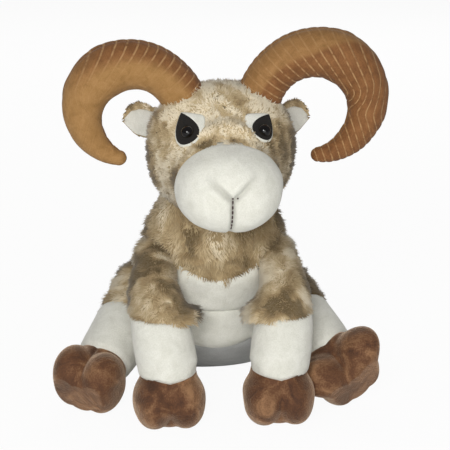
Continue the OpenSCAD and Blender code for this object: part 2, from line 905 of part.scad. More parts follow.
// Hooves: a cuff that opens into two round toes, with the leg above and the sole at z 0
module hoof_form() {
  swell = toe_h / 2;
  for (x = [-toe_spacing / 2, toe_spacing / 2])
    loft([for (a = [-75, -45, -15, 15, 45, 75])
      square_ring([x, (ankle_d() - toe_len) / 2, swell * (0.88 + sin(a))], [0, 0, -1], [1, 0, 0],
        toe_w / 2 * pow(cos(a), 0.8), toe_len / 2 * pow(cos(a), 0.8))]);
}
// The heel of every hoof lines up with the back of the narrower leg
function ankle_d() = min(front_leg_d, hind_leg_d);

// Everything above the dipping line between the white leg and the hoof
module above_hoof() {
  rotate([90, 0, 0]) linear_extrude(reach, center = true)
    polygon([
      [0, hoof_h - hoof_dip], [toe_spacing, hoof_h], [reach, hoof_h], [reach, reach],
      [-reach, reach], [-reach, hoof_h], [-toe_spacing, hoof_h]
    ]);
}

// Everything above a height
module above(z) {
  translate([-reach, -reach, z]) cube(2 * reach);
}

// Cuts a sole flat on the floor
module below_floor() {
  translate([-reach, -reach, -2 * reach]) cube(2 * reach);
}

// Front leg, left: from the shoulder's ball over a bend down to the hoof
front_hoof_place = [front_hoof_x, -front_hoof_front, 0];
front_bend = [elbow_x, -front_hoof_front + fabric, elbow_z];
front_end = front_hoof_place + [0, 0, hoof_h];

function front_point(k) =
  shoulder * pow(1 - k, 2) + front_bend * 2 * k * (1 - k) + front_end * pow(k, 2);
function front_along(k) = unit((front_bend - shoulder) * (1 - k) + (front_end - front_bend) * k);
function front_half(k) =
  (k < 0.5 ? blend(shoulder_d, sleeve_d, ease(2 * k)) : blend(sleeve_d, front_leg_d, ease(2 * k - 1))) / 2;

function front_ring(k, g) =
  let (r = front_half(k) + g)
  square_ring(front_point(k), front_along(k), [1, 0, 0], r, r);
function front_ankle(z, g) =
  let (r = front_leg_d / 2 + g)
  square_ring(front_hoof_place + [0, 0, z], [0, 0, -1], [1, 0, 0], r, r);

module front_leg_solid() {
  difference() {
    union() {
      tube(concat([for (k = [0, 0.2, 0.4, 0.6, 0.8]) front_ring(k, 0)],
        [front_ankle(hoof_h, 0), front_ankle(hoof_h / 2, 0)]));
      translate(front_hoof_place) hoof_form();
    }
    for (angle = [0, front_swing])
      turned(shoulder, SWING, angle) torso_form(seam_gap);
    below_floor();
  }
  translate(shoulder) ball(shoulder_d / 2, SWING);
}

// The hollow of the leg below its gathered shoulder, or the filling in it
module front_inside(g) {
  tube(concat([for (k = [0.4, 0.6, 0.8]) front_ring(k, -g)],
    [front_ankle(hoof_h, -g), front_ankle(hoof_h / 2 + g, -g)]));
}

module front_leg_shell() {
  difference() {
    front_leg_solid();
    front_inside(fabric);
  }
}

module front_sleeve(side) {
  color(tan_pile) on_side(side) intersection() {
    front_leg_shell();
    above(sleeve_edge_z);
  }
}

module front_sock(side) {
  color(white_pile) on_side(side) difference() {
    intersection() {
      front_leg_shell();
      translate(front_hoof_place) above_hoof();
    }
    above(sleeve_edge_z);
  }
}

module front_hoof(side) {
  color(brown_pile) on_side(side) difference() {
    front_leg_shell();
    translate(front_hoof_place) above_hoof();
  }
}

module front_filling(side) {
  color(filling_white) on_side(side) front_inside(fabric + fill_gap);
}

// Hind leg, drawn with the hip at the origin and the leg along -Y
ankle_s = hind_len - hoof_h / 2;
// Where along the leg the tan thigh ends
thigh_end = 0.38 * hind_len;

function droop_of(side) = asin((hip_z - (side == LEFT ? hind_hoof_z_left : hind_hoof_z_right)) / hind_len);
function splay_of(side) = side == LEFT ? hind_splay_left : hind_splay_right;
function roll_of(side) = side == LEFT ? hind_roll_left : hind_roll_right;
function hind_half(k) = blend(hip_d, hind_leg_d, ease(k)) / 2;

module hind_place(side) {
  translate(hip) rotate([droop_of(side), 0, splay_of(side)]) children();
}

// Lays the hoof's own upright frame along the leg, rolled so that its outer toe lifts
module at_hind_hoof(side) {
  translate([0, -ankle_s, 0]) rotate([0, -roll_of(side), 0]) rotate([-90, 0, 0])
    translate([0, 0, -hoof_h]) children();
}

function hind_ring(k, g) =
  let (r = hind_half(min(k, 1)) + g)
  square_ring([0, -k * ankle_s, 0], [0, -1, 0], [1, 0, 0], r, r);
// How far the leg reaches into the hoof, as a share of its length to the ankle
hind_reach = 1 + hoof_h / 2 / ankle_s;

module hind_leg_solid(side) {
  difference() {
    hind_place(side) {
      tube([for (k = [0, 0.3, 0.62, 1, hind_reach]) hind_ring(k, 0)]);
      at_hind_hoof(side) hoof_form();
    }
    for (angle = [0, hind_swing])
      turned(hip, SPLAY, -angle) torso_form(seam_gap);
    below_floor();
  }
  translate(hip) ball(hip_d / 2, SPLAY);
}

// The hollow of the leg beyond its gathered thigh, or the filling in it
module hind_inside(side, g) {
  hind_place(side) tube([for (k = [0.62, 1, hind_reach - g / ankle_s]) hind_ring(k, -g)]);
}

module hind_leg_shell(side) {
  difference() {
    hind_leg_solid(side);
    hind_inside(side, fabric);
  }
}

module beyond_thigh() {
  translate([-reach / 2, -reach - thigh_end, -reach / 2]) cube(reach);
}

module hind_thigh(side) {
  color(tan_pile) on_side(side) difference() {
    hind_leg_shell(side);
    hind_place(side) beyond_thigh();
  }
}

module hind_sock(side) {
  color(white_pile) on_side(side) intersection() {
    hind_leg_shell(side);
    hind_place(side) intersection() {
      beyond_thigh();
      at_hind_hoof(side) above_hoof();
    }
  }
}

module hind_hoof(side) {
  color(brown_pile) on_side(side) difference() {
    hind_leg_shell(side);
    hind_place(side) at_hind_hoof(side) above_hoof();
  }
}

module hind_filling(side) {
  color(filling_white) on_side(side) hind_inside(side, fabric + fill_gap);
}

body_skin();
chest_bib();
belly_panel();
seat_panel();
body_filling();
pellet_bag();
tail();
head_skin();
muzzle();
head_filling();
mouth_stitching();
eye_patch(LEFT);  // eye_patch_left
eye_patch(RIGHT);  // eye_patch_right
eye_felt(LEFT);  // eye_felt_left
eye_felt(RIGHT);  // eye_felt_right
eye(LEFT);  // eye_left
eye(RIGHT);  // eye_right
eye_washer(LEFT);  // eye_washer_left
eye_washer(RIGHT);  // eye_washer_right
horn_front(LEFT);  // horn_front_left
horn_front(RIGHT);  // horn_front_right
horn_back(LEFT);  // horn_back_left
horn_back(RIGHT);  // horn_back_right
horn_filling(LEFT);  // horn_filling_left
horn_filling(RIGHT);  // horn_filling_right
ear_back(LEFT);  // ear_back_left
ear_back(RIGHT);  // ear_back_right
ear_lining(LEFT);  // ear_lining_left
ear_lining(RIGHT);  // ear_lining_right
front_sleeve(LEFT);  // front_sleeve_left
front_sleeve(RIGHT);  // front_sleeve_right
front_sock(LEFT);  // front_sock_left
front_sock(RIGHT);  // front_sock_right
front_hoof(LEFT);  // front_hoof_left
front_hoof(RIGHT);  // front_hoof_right
front_filling(LEFT);  // front_filling_left
front_filling(RIGHT);  // front_filling_right
hind_thigh(LEFT);  // hind_thigh_left
hind_thigh(RIGHT);  // hind_thigh_right
hind_sock(LEFT);  // hind_sock_left
hind_sock(RIGHT);  // hind_sock_right
hind_hoof(LEFT);  // hind_hoof_left
hind_hoof(RIGHT);  // hind_hoof_right
hind_filling(LEFT);  // hind_filling_left
hind_filling(RIGHT);  // hind_filling_right
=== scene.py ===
import math
from functools import partial

import bpy
import numpy as np
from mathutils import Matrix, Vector


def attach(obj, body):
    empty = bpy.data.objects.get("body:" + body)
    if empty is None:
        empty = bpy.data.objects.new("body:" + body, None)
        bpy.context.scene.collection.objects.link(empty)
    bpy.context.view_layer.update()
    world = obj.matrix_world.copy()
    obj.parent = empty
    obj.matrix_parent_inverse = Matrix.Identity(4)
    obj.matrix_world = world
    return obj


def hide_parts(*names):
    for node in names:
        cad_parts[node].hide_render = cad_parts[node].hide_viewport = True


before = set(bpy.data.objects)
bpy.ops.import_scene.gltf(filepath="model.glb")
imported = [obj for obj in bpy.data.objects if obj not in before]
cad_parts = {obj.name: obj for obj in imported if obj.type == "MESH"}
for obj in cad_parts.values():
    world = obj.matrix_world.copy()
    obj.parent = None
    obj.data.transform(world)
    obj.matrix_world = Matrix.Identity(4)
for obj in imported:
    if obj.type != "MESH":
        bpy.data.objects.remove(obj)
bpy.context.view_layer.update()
print("frame loaded:", len(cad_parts), "nodes")

sides = (("left", 1), ("right", -1))


# straight mix of a and b by k
def blend(a, b, k):
    return a + (b - a) * k


# smoothstep: 3t squared minus 2t cubed, held at its ends
def ease(t):
    t = np.clip(t, 0, 1)
    return t * t * (3 - 2 * t)


# arrows divided by their length
def unit(v):
    return v / np.maximum(np.linalg.norm(v, axis=-1, keepdims=True), 1e-9)


# bell curve of height 1 with its middle at 0
def bell(x, width):
    return np.exp(-(x / width) ** 2)


# angles once round, without the end
def fullTurn(n):
    return np.linspace(0, 2 * np.pi, n, endpoint=False)


# a circle's arrow: cosine along a and sine along b
def spin(a, b, turn):
    return a * np.cos(turn)[..., None] + b * np.sin(turn)[..., None]


# a sine or cosine made squarer: its size to the power 2/fullness, with its sign
def fuller(v, fullness):
    return np.sign(v) * np.abs(v) ** (2 / fullness)


# turns points about an axis through the origin by Rodrigues' formula
def turned(p, axis, degrees):
    p = np.asarray(p, float)
    a = math.radians(degrees)
    k = unit(np.array(axis, float))
    return p * math.cos(a) + np.cross(k, p) * math.sin(a) + k * (p @ k)[..., None] * (1 - math.cos(a))


# distance of flat points from the straight line between two ends, and the share along it
def fromLine(x, z, a, b):
    d = np.array(b, float) - a
    k = np.clip(((x - a[0]) * d[0] + (z - a[1]) * d[1]) / (d @ d), 0, 1)
    return np.hypot(x - a[0] - k * d[0], z - a[1] - k * d[1]), k


lattice = dict(axes=(73856093, 19349663, 83492791), seed=40503011, mix=((13, 1274126177), (15, 668265263)), top=65535)


# value noise 0..1: hashed numbers at the corners of a cubic lattice, blended by smoothstep
def cloud(p, cell, seed):
    q = np.asarray(p, float) / cell
    i = np.floor(q).astype(np.int64)
    f = ease(q - i)
    total = np.zeros(q.shape[:-1])
    for corner in range(8):
        o = np.array([corner & 1, corner >> 1 & 1, corner >> 2 & 1])
        x, y, z = np.moveaxis((i + o) * np.array(lattice["axes"]), -1, 0)
        h = x ^ y ^ z ^ (seed * lattice["seed"])
        for shift, factor in lattice["mix"]:
            h = (h ^ (h >> shift)) * factor
        h = (h ^ (h >> 16)) & lattice["top"]
        total += h / lattice["top"] * np.prod(np.where(o == 1, f, 1 - f), axis=-1)
    return total


# three noises at once, as arrows around zero
def cloudArrow(p, cell, seed):
    return np.stack([cloud(p, cell, seed + k) for k in range(3)], -1) * 2 - 1


# the place between low and high where a test turns from true to false, by halving
def halved(test, low, high, rounds):
    for _ in range(rounds):
        half = (low + high) / 2
        passed = test(half)
        low, high = np.where(passed, half, low), np.where(passed, high, half)
    return low


# sRGB hex to the linear colour that the shaders take
def tint(text):
    c = np.array([int(text[k:k + 2], 16) for k in (1, 3, 5)]) / 255
    c = np.where(c <= 0.04045, c / 12.92, ((c + 0.055) / 1.055) ** 2.4)
    return (*c.tolist(), 1.0)


# a socket with arithmetic: each operator adds one Math node
class Wire:
    def __init__(self, paint, socket):
        self.paint, self.socket = paint, socket

    def calc(self, operation, a, b=0.0):
        return self.paint.node("ShaderNodeMath", {"operation": operation}, {0: a, 1: b})

    def __add__(self, other):
        return self.calc("ADD", self, other)

    def __sub__(self, other):
        return self.calc("SUBTRACT", self, other)

    def __rsub__(self, other):
        return self.calc("SUBTRACT", other, self)

    def __mul__(self, other):
        return self.calc("MULTIPLY", self, other)

    def __truediv__(self, other):
        return self.calc("DIVIDE", self, other)

    def __mod__(self, other):
        return self.calc("FLOORED_MODULO", self, other)

    def __abs__(self):
        return self.calc("ABSOLUTE", self)


# one material or sky: its nodes come from node(), and cover() feeds the Principled shader
class Paint:
    def __init__(self, name, kind="materials"):
        self.owner = getattr(bpy.data, kind).new(name)
        self.owner.use_nodes = True
        self.tree = self.owner.node_tree
        self.shader = self.tree.nodes.get("Principled BSDF")

    def feed(self, socket, value):
        if isinstance(value, Wire):
            self.tree.links.new(value.socket, socket)
        else:
            socket.default_value = value

    def node(self, kind, settings, sockets, out=0):
        made = self.tree.nodes.new(kind)
        for key, value in settings.items():
            if key == "stops":
                ramp = made.color_ramp
                while len(ramp.elements) < len(value):
                    ramp.elements.new(0.5)
                for element, (place, colour) in zip(ramp.elements, value):
                    element.position = place
                    element.color = tint(colour)
            else:
                setattr(made, key, value)
        for key, value in sockets.items():
            self.feed(made.inputs[key], value)
        return Wire(self, made.outputs[out])

    def here(self):
        return self.node("ShaderNodeTexCoord", {}, {}, "Object")

    def mark(self, name):
        return self.node("ShaderNodeAttribute", {"attribute_name": name}, {}, "Fac")

    def noise(self, scale, detail=2.0, roughness=0.5, distortion=0.0):
        sockets = {"Vector": self.here(), "Scale": scale, "Detail": detail, "Roughness": roughness,
                   "Distortion": distortion}
        return self.node("ShaderNodeTexNoise", {}, sockets, "Fac")

    def ramp(self, value, *stops):
        return self.node("ShaderNodeValToRGB", {"stops": stops}, {0: value})

    def mixed(self, k, a, b):
        return self.node("ShaderNodeMix", {"data_type": "RGBA"}, {0: k, 6: a, 7: b}, 2)

    # 0 below a, 1 above b, straight between
    def between(self, value, a, b):
        return self.node("ShaderNodeMapRange", {}, {"Value": value, "From Min": a, "From Max": b})

    def bump(self, height, distance, strength=1.0):
        return self.node("ShaderNodeBump", {}, {"Height": height, "Distance": distance, "Strength": strength})

    # 1 for rays that reach the picture straight or through something clear
    def seen(self):
        rays = [self.node("ShaderNodeLightPath", {}, {}, k) for k in ("Is Camera Ray", "Is Transmission Ray")]
        return rays[0].calc("MINIMUM", rays[0] + rays[1], 1.0)

    def cover(self, **sockets):
        for key, value in sockets.items():
            self.feed(self.shader.inputs[key.replace("_", " ")], value)
        return self.owner


# fur strands: tone picks the tan; along darkens the root, as painted shade deep in the pile, and lightens the tip
def tanFurFinish(name, shades):
    p = Paint(name)
    along, tone = p.mark("along"), p.mark("tone")
    full, root = p.ramp(tone, *shades["body"]), p.ramp(tone, *shades["root"])
    colour = p.mixed(p.between(along, 0.0, 0.6), root, full)
    colour = p.mixed(p.between(along, 0.6, 1.0) * shades["tipShare"], colour, tint(shades["tip"]))
    return p.cover(Base_Color=colour, Roughness=0.8, Sheen_Weight=0.2, Sheen_Roughness=0.5)


# woven backing of the fur, seen only between the strands; its tones are kept darker than the strands as painted shade
# deep in the pile
def tanSkinFinish(name, dark, light):
    p = Paint(name)
    patch, fine = p.noise(95, 3.0, 0.6), p.noise(900, 2.0)
    colour = p.ramp(patch * 0.8 + fine * 0.3, (0.35, dark), (0.75, light))
    return p.cover(Base_Color=colour, Roughness=0.95, Normal=p.bump(fine, 0.001))


# short plush: fine pile in the bump, and painted shade in the colour along the creases, where the mark crease is high
def whitePileFinish(name, shade, light, creaseShadeTint):
    p = Paint(name)
    pile, brushed = p.noise(1250, 3.0, 0.65), p.noise(105, 4.0, 0.6, 0.8)
    colour = p.ramp(brushed * 0.5 + pile * 0.5, (0.32, shade), (0.64, light))
    # painted shade: the colour darkens along the creases
    colour = p.mixed(p.mark("crease") * 0.55, colour, tint(creaseShadeTint))
    return p.cover(Base_Color=colour, Roughness=0.93, Sheen_Weight=0.25, Sheen_Roughness=0.5,
                   Normal=p.bump(pile * 0.7 + brushed * 0.7, 0.001, 0.7))


# crushed plush: patches where the pile lies towards or away from the light
def brownPileFinish(name, dark, middle, light, sheen):
    p = Paint(name)
    patch, pile = p.noise(58, 4.0, 0.58, 0.9), p.noise(1000, 2.0, 0.6)
    colour = p.ramp(patch * 0.75 + pile * 0.25, (0.36, dark), (0.5, middle), (0.66, light))
    return p.cover(Base_Color=colour, Roughness=0.8, Sheen_Weight=0.9, Sheen_Roughness=0.42,
                   Sheen_Tint=tint(sheen), Normal=p.bump(patch * 1.4 + pile * 0.6, 0.0011, 0.8))


# suede of the horns: the mark stripe counts millimetres across the pale sewn lines, and the mark rib is 1
# where the cloth is ribbed and dark, 0 where its nap is brushed plain
def hornFinish(name, cloth):
    p = Paint(name)
    stripe, rib = p.mark("stripe"), p.mark("rib")
    nap, grain = p.noise(150, 4.0, 0.6, 0.6), p.noise(1300, 2.0)
    streak = p.node("ShaderNodeTexNoise", {"noise_dimensions": "1D"}, {"W": stripe * 0.7, "Detail": 3.0}, "Fac")
    tone = nap * 0.5 + streak * 0.35 + grain * 0.2
    ground = p.mixed(rib, p.ramp(tone, *cloth["plain"]), p.ramp(tone, *cloth["ribbed"]))
    line = 1.0 - p.between(abs((stripe / cloth["pitch"] + nap * 0.1) % 1.0 - 0.5), 0.05, 0.13)
    broken = p.between(p.noise(330, 2.0), 0.3, 0.55)
    share = rib * (1 - cloth["faint"]) + cloth["faint"]
    colour = p.mixed(line * broken * share * cloth["lineShare"], ground, tint(cloth["line"]))
    return p.cover(Base_Color=colour, Roughness=0.84, Sheen_Weight=0.05,
                   Normal=p.bump(grain * 0.35 + nap * 0.5 + line * share * 0.5, 0.0008, 0.8))


# matted fibre, as felt, loose filling or bag cloth: one twisted noise in colour and bump
def fibreFinish(name, dark, light, scale, weave):
    p = Paint(name)
    wad = p.noise(scale, *weave["noise"])
    return p.cover(Base_Color=p.ramp(wad, (weave["low"], dark), (0.7, light)), Roughness=weave["rough"],
                   Normal=p.bump(wad, weave["bump"]))


# twisted thread: fine slanting bands from a wave
def threadFinish(name, dark, light):
    p = Paint(name)
    twist = p.node("ShaderNodeTexWave", {"bands_direction": "DIAGONAL"},
                   {"Vector": p.here(), "Scale": 900.0, "Distortion": 1.0})
    return p.cover(Base_Color=p.ramp(twist, (0.2, dark), (0.8, light)), Roughness=0.7,
                   Normal=p.bump(twist, 0.0003))


# moulded plastic: almost even, with faint flow marks in the roughness
def plasticFinish(name, dark, light, low, high, shine):
    p = Paint(name)
    flow = p.noise(260, 3.0)
    return p.cover(Base_Color=p.ramp(flow, (0.3, dark), (0.7, light)), Specular_IOR_Level=shine,
                   Roughness=p.between(flow, 0.3, 0.7) * (high - low) + low)


# root: the darker tones at the strands' roots, painted shade deep in the pile
furShades = dict(body=[(0.0, "#76623f"), (0.34, "#a88f66"), (0.62, "#c9b48d"), (1.0, "#eee1c6")],
                 root=[(0.0, "#6c5838"), (0.5, "#a38c66"), (1.0, "#d6c29d")], tip="#efe4cd", tipShare=0.15)
hornCloth = dict(pitch=5.2, plain=[(0.35, "#84602f"), (0.52, "#98713f"), (0.7, "#a98150")],
                 ribbed=[(0.35, "#603a17"), (0.52, "#7a4e26"), (0.7, "#906236")], line="#b18a5c",
                 lineShare=0.8, faint=0.16)
feltWeave = dict(noise=(4.0, 0.7, 1.5), low=0.35, rough=0.95, bump=0.0005)
wadWeave = dict(noise=(5.0, 0.7, 2.0), low=0.3, rough=0.97, bump=0.002)
tanFur = tanFurFinish("tanFur", furShades)
tanSkin = tanSkinFinish("tanBacking", "#927d58", "#bea983")
headCloth = tanSkinFinish("headBacking", "#a8936d", "#d6c39e")
# the last tone of the white plush is the painted shade in its creases
whitePile = whitePileFinish("whitePlush", "#d0cfc2", "#e8e7dd", "#7f7d73")
# the seat's plush: the white plush in darker greys, painted shade of the seat's underside
seatShadedPile = whitePileFinish("seatShadedPlush", "#a4a5a3", "#bdbebb", "#7f7d73")
brownPile = brownPileFinish("brownCrushedPlush", "#40220d", "#5f3a1e", "#936c49", "#e2c7ab")
hornSuede = hornFinish("hornSuede", hornCloth)
darkFelt = fibreFinish("darkFelt", "#0e0c0a", "#27221d", 1600, feltWeave)
lipThread = threadFinish("lipThread", "#2c1a1c", "#553a3a")
eyePlastic = plasticFinish("eyePlastic", "#030202", "#080505", 0.03, 0.06, 0.38)
washerPlastic = plasticFinish("washerPlastic", "#c9c9c2", "#e2e2dc", 0.35, 0.5, 0.5)
fibreFill = fibreFinish("fibreFilling", "#d8d8d4", "#f2f2ee", 180, wadWeave)
bagCloth = fibreFinish("pelletBagCloth", "#b9b6ab", "#dad8ce", 700, wadWeave)
print("finishes made")


# one mesh object from points in millimetres; faces turn outwards by the sign of the enclosed volume
def makePiece(name, points, quads, tris, material, marks=None):
    points = np.asarray(points, float)
    quads = np.asarray(quads, np.int64).reshape(-1, 4)
    tris = np.asarray(tris, np.int64).reshape(-1, 3)
    three = np.concatenate([quads[:, [0, 1, 2]], quads[:, [0, 2, 3]], tris])
    a, b, c = (points[three[:, k]] - points.mean(0) for k in range(3))
    if (a * np.cross(b, c)).sum() < 0:
        quads, tris = quads[:, ::-1], tris[:, ::-1]
    loops = np.concatenate([quads.ravel(), tris.ravel()]).astype(np.int32)
    starts = np.concatenate([np.arange(len(quads)) * 4, 4 * len(quads) + np.arange(len(tris)) * 3])
    mesh = bpy.data.meshes.new(name)
    mesh.vertices.add(len(points))
    mesh.vertices.foreach_set("co", (points * 0.001).astype(np.float32).ravel())
    mesh.loops.add(len(loops))
    mesh.loops.foreach_set("vertex_index", loops)
    mesh.polygons.add(len(starts))
    mesh.polygons.foreach_set("loop_start", starts.astype(np.int32))
    mesh.polygons.foreach_set("use_smooth", np.ones(len(starts), bool))
    mesh.update(calc_edges=True)
    for key, values in (marks or {}).items():
        spots = mesh.attributes.new(key, "FLOAT", "POINT").data
        spots.foreach_set("value", np.asarray(values, np.float32).ravel())
    mesh.materials.append(material)
    made = bpy.data.objects.new(name, mesh)
    bpy.context.scene.collection.objects.link(made)
    return made


# faces over n rings of m points, joined all round; the two points after them close the ends
def ringFaces(n, m):
    i, j = np.arange(n - 1)[:, None] * m, np.arange(m)[None]
    k = (j + 1) % m
    quads = np.stack([i + j, i + k, i + m + k, i + m + j], -1).reshape(-1, 4)
    low = np.stack([np.full(m, n * m), k[0], j[0]], -1)
    high = np.stack([np.full(m, n * m + 1), (n - 1) * m + j[0], (n - 1) * m + k[0]], -1)
    return quads, np.concatenate([low, high])


# closed skin over rings and two end points, carried to its place
def ringSkin(name, rings, start, end, material, place=np.asarray, marks=None):
    points = place(np.concatenate([rings.reshape(-1, 3), [start], [end]]))
    marks = {key: np.concatenate([v.ravel(), [v[0].mean(), v[-1].mean()]]) for key, v in (marks or {}).items()}
    return makePiece(name, points, *ringFaces(*rings.shape[:2]), material, marks)


# closed pad between two sheets of the same grid, joined all round their rim, carried to its place
def padSkin(name, front, back, material, place=np.asarray):
    n, m = front.shape[:2]
    points = place(np.concatenate([front.reshape(-1, 3), back.reshape(-1, 3)]))
    i, j = np.arange(n - 1)[:, None] * m, np.arange(m - 1)[None]
    quads = np.stack([i + j, i + j + 1, i + m + j + 1, i + m + j], -1).reshape(-1, 4)
    rim = np.concatenate([np.arange(m), np.arange(1, n) * m + m - 1, (n - 1) * m + np.arange(m - 2, -1, -1),
                          np.arange(n - 2, 0, -1) * m])
    after = np.roll(rim, -1)
    edge = np.stack([after, rim, rim + n * m, after + n * m], -1)
    return makePiece(name, points, np.concatenate([quads, quads[:, ::-1] + n * m, edge]), [], material)


# gives a piece its body, and hides the solid that it takes the place of
def sew(piece, body, node=None):
    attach(piece, body)
    if node:
        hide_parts(node)


# roots spread over a ring grid by area: a triangle by its share of the area, then a point inside it
def scatter(rings, style, keep=None, seedStep=0):
    closed = np.concatenate([rings, rings[:, :1]], 1)
    a, b, c, d = closed[:-1, :-1], closed[:-1, 1:], closed[1:, 1:], closed[1:, :-1]
    three = np.concatenate([np.stack(q, 2).reshape(-1, 3, 3) for q in ((a, b, c), (a, c, d))])
    across = np.cross(three[:, 1] - three[:, 0], three[:, 2] - three[:, 0])
    if ((three.mean(1) - rings.reshape(-1, 3).mean(0)) * across).sum() < 0:
        across = -across
    area = np.linalg.norm(across, axis=1)
    rng = np.random.default_rng(style["seed"] + seedStep)
    pick = rng.choice(len(three), style["count"], p=area / area.sum())
    k = rng.random((style["count"], 2))
    k = np.where(k.sum(1, keepdims=True) > 1, 1 - k, k)
    corner, one, two = (three[pick, j] for j in range(3))
    root, normal = corner + (one - corner) * k[:, :1] + (two - corner) * k[:, 1:], unit(across[pick])
    if keep is None:
        return root, normal
    good = keep(root, normal)
    return root[good], normal[good]


# strands of all coats: depth of the root, lengths, locks and girths as least and spread, girth at the bend, least
# rise of both halves, and clouds of tone as share and size
strand = dict(sink=0.7, length=(0.65, 0.7), lock=(0.75, 0.5), lockCell=14, girth=(0.75, 0.5), bend=0.8,
              rise=(0.25, 0.02), curlCell=0.45, stray=0.6, own=0.06, drawn=(1, 1, 0.65),
              clouds=((0.5, 1.0), (0.32, 0.5), (0.2, 0.22)), along=(0, 0, 0, 0.55, 0.55, 0.55, 1.0))
strandQuads = np.array([[0, 1, 4, 3], [1, 2, 5, 4], [2, 0, 3, 5]])
strandTris = np.array([[3, 4, 6], [4, 5, 6], [5, 3, 6], [2, 1, 0]])
# a strand's cell of the bake map, root at its bottom
cellSpots = np.array([[0.08, 0.2], [0.36, 0.2], [0.64, 0.2], [0.92, 0.2], [0.08, 0.55], [0.36, 0.55], [0.64, 0.55],
                      [0.92, 0.55], [0.22, 0.95], [0.5, 0.95], [0.78, 0.95], [0.5, 0.05]])
cellQuads = cellSpots[[[0, 1, 5, 4], [1, 2, 6, 5], [2, 3, 7, 6]]]
cellTris = cellSpots[[[4, 5, 8], [5, 6, 9], [6, 7, 10], [3, 0, 11]]]


# fur: each strand is a closed three-sided cone in two steps. Its way out is lift along the skin's normal,
# plus lay along the comb, plus a tuft arrow that neighbours share; its second half bends by the curl arrow
def furCoat(name, body, place, root, normal, comb, style, gain=1.0, shade=0.0):
    n, seed = len(root), style["seed"]
    rng = np.random.default_rng(seed)
    tips, combs, root = place(root + normal), place(root + comb), place(root)
    normal, comb = unit(tips - root), combs - root
    comb = unit(comb - normal * (comb * normal).sum(-1, keepdims=True))

    # a way, raised along the normal until it has the least rise
    def risen(way, least):
        return unit(way + normal * np.maximum(0, least - (way * normal).sum(-1, keepdims=True)))

    tuft = cloudArrow(root, style["tuftCell"], seed)
    curl = cloudArrow(root, style["tuftCell"] * strand["curlCell"], seed + 7)
    curl = curl + strand["stray"] * (rng.random((n, 3)) * 2 - 1)
    first = unit(normal * style["lift"] + comb * style["lay"] + tuft * style["tuft"])
    first = risen(first, strand["rise"][0])
    second = risen(unit(first + comb * style["droop"] + curl * style["curl"]), strand["rise"][1])
    least, spread = strand["length"]
    length = style["length"] * (least + spread * rng.random((n, 1)))
    least, spread = strand["lock"]
    length = length * ((least + spread * cloud(root, strand["lockCell"], seed + 3)) * gain)[:, None]
    base = root - normal * strand["sink"]
    middle = base + first * length * 0.5
    tip = middle + second * length * 0.5
    a = unit(np.cross(first, rng.normal(size=(n, 3))))
    least, spread = strand["girth"]
    thick = style["radius"] * (least + spread * rng.random((n, 1)))[:, None]
    ring = spin(a[:, None], np.cross(first, a)[:, None], np.radians([0, 120, 240]))
    points = [base[:, None] + ring * thick, middle[:, None] + ring * strand["bend"] * thick, tip[:, None]]
    # shading: mostly the skin's own way out, so that the coat looks soft
    soft = np.concatenate([ring, ring, second[:, None]], 1) * (1 - style["soft"]) + normal[:, None] * style["soft"]
    # tone: clouds of three sizes, drawn out downwards, and a little of each strand's own
    tone = strand["own"] * (rng.random(n) - 0.5)
    for share, cell in strand["clouds"]:
        tone = tone + share * (cloud(root * strand["drawn"], style["patch"] * cell, seed + 11) - 0.5)
    # plus the coat's brightness and the painted light and shade that the caller gives
    tone = np.clip(tone * style["contrast"] + style["bright"] + shade, 0, 1)
    step = np.arange(n)[:, None, None] * len(strand["along"])
    made = makePiece(name, np.concatenate(points, 1).reshape(-1, 3), step + strandQuads, step + strandTris, tanFur,
                     {"along": np.tile(strand["along"], n), "tone": np.repeat(tone, len(strand["along"]))})
    mesh = made.data
    turn = 1 if mesh.loops[0].vertex_index == strandQuads[0, 0] else -1
    side = math.ceil(math.sqrt(n))
    corner = np.stack([np.arange(n) % side, np.arange(n) // side], -1)[:, None, None]
    uv = np.concatenate([(corner + cells[:, ::turn]).reshape(-1, 2) for cells in (cellQuads, cellTris)])
    mesh.uv_layers.new(name="OFBake").data.foreach_set("uv", (uv / side).astype(np.float32).ravel())
    mesh.normals_split_custom_set_from_vertices(unit(soft).reshape(-1, 3).tolist())
    sew(made, body)


# torso: level ovals that change with height, on a flat seat and with a round neck
torso = dict(seat=(0, 42, 23), belly=(32, 61, 53), chest=(56, 52, 43), neck=(64, 40, 40), bellyZ=46, chestZ=116,
             neckZ=145, skinIn=1.8, panelIn=6, around=128, rows=76, sole=(0.1, 0.94, 9))
torsoFur = dict(count=39000, length=5.2, radius=0.42, lift=0.75, lay=0.5, droop=0.3, tuft=0.8, curl=0.6,
                tuftCell=7.0, patch=20.0, contrast=2.3, bright=0.38, soft=0.74, seed=11)
neckMiddle = np.array([0, -torso["neck"][0], torso["neckZ"]])
up = np.array([0, 0, 1.0])


# front, half width and half depth at a height: by a sine from the seat to the belly, by smoothstep to the
# chest and by a square to the neck
def torsoRow(z):
    z = np.asarray(z, float)[..., None]
    seat, belly, chest, neck = (np.array(torso[k], float) for k in ("seat", "belly", "chest", "neck"))
    bellyZ, chestZ, neckZ = torso["bellyZ"], torso["chestZ"], torso["neckZ"]
    low = blend(seat, belly, np.sin(np.pi / 2 * np.clip(z / bellyZ, 0, 1)))
    mid = blend(belly, chest, ease((z - bellyZ) / (chestZ - bellyZ)))
    top = blend(chest, neck, np.clip((z - chestZ) / (neckZ - chestZ), 0, 1) ** 2)
    row = np.where(z <= bellyZ, low, np.where(z <= chestZ, mid, top))
    return row[..., 0], row[..., 1], row[..., 2]


# a point of the oval at height z: cosine of u times the half width, sine times the half depth
def torsoPoint(u, z, out=0.0):
    u, z = np.broadcast_arrays(u, z)
    front, hw, hd = torsoRow(z)
    return np.stack([(hw + out) * np.cos(u), -front + (hd + out) * np.sin(u), z], -1)


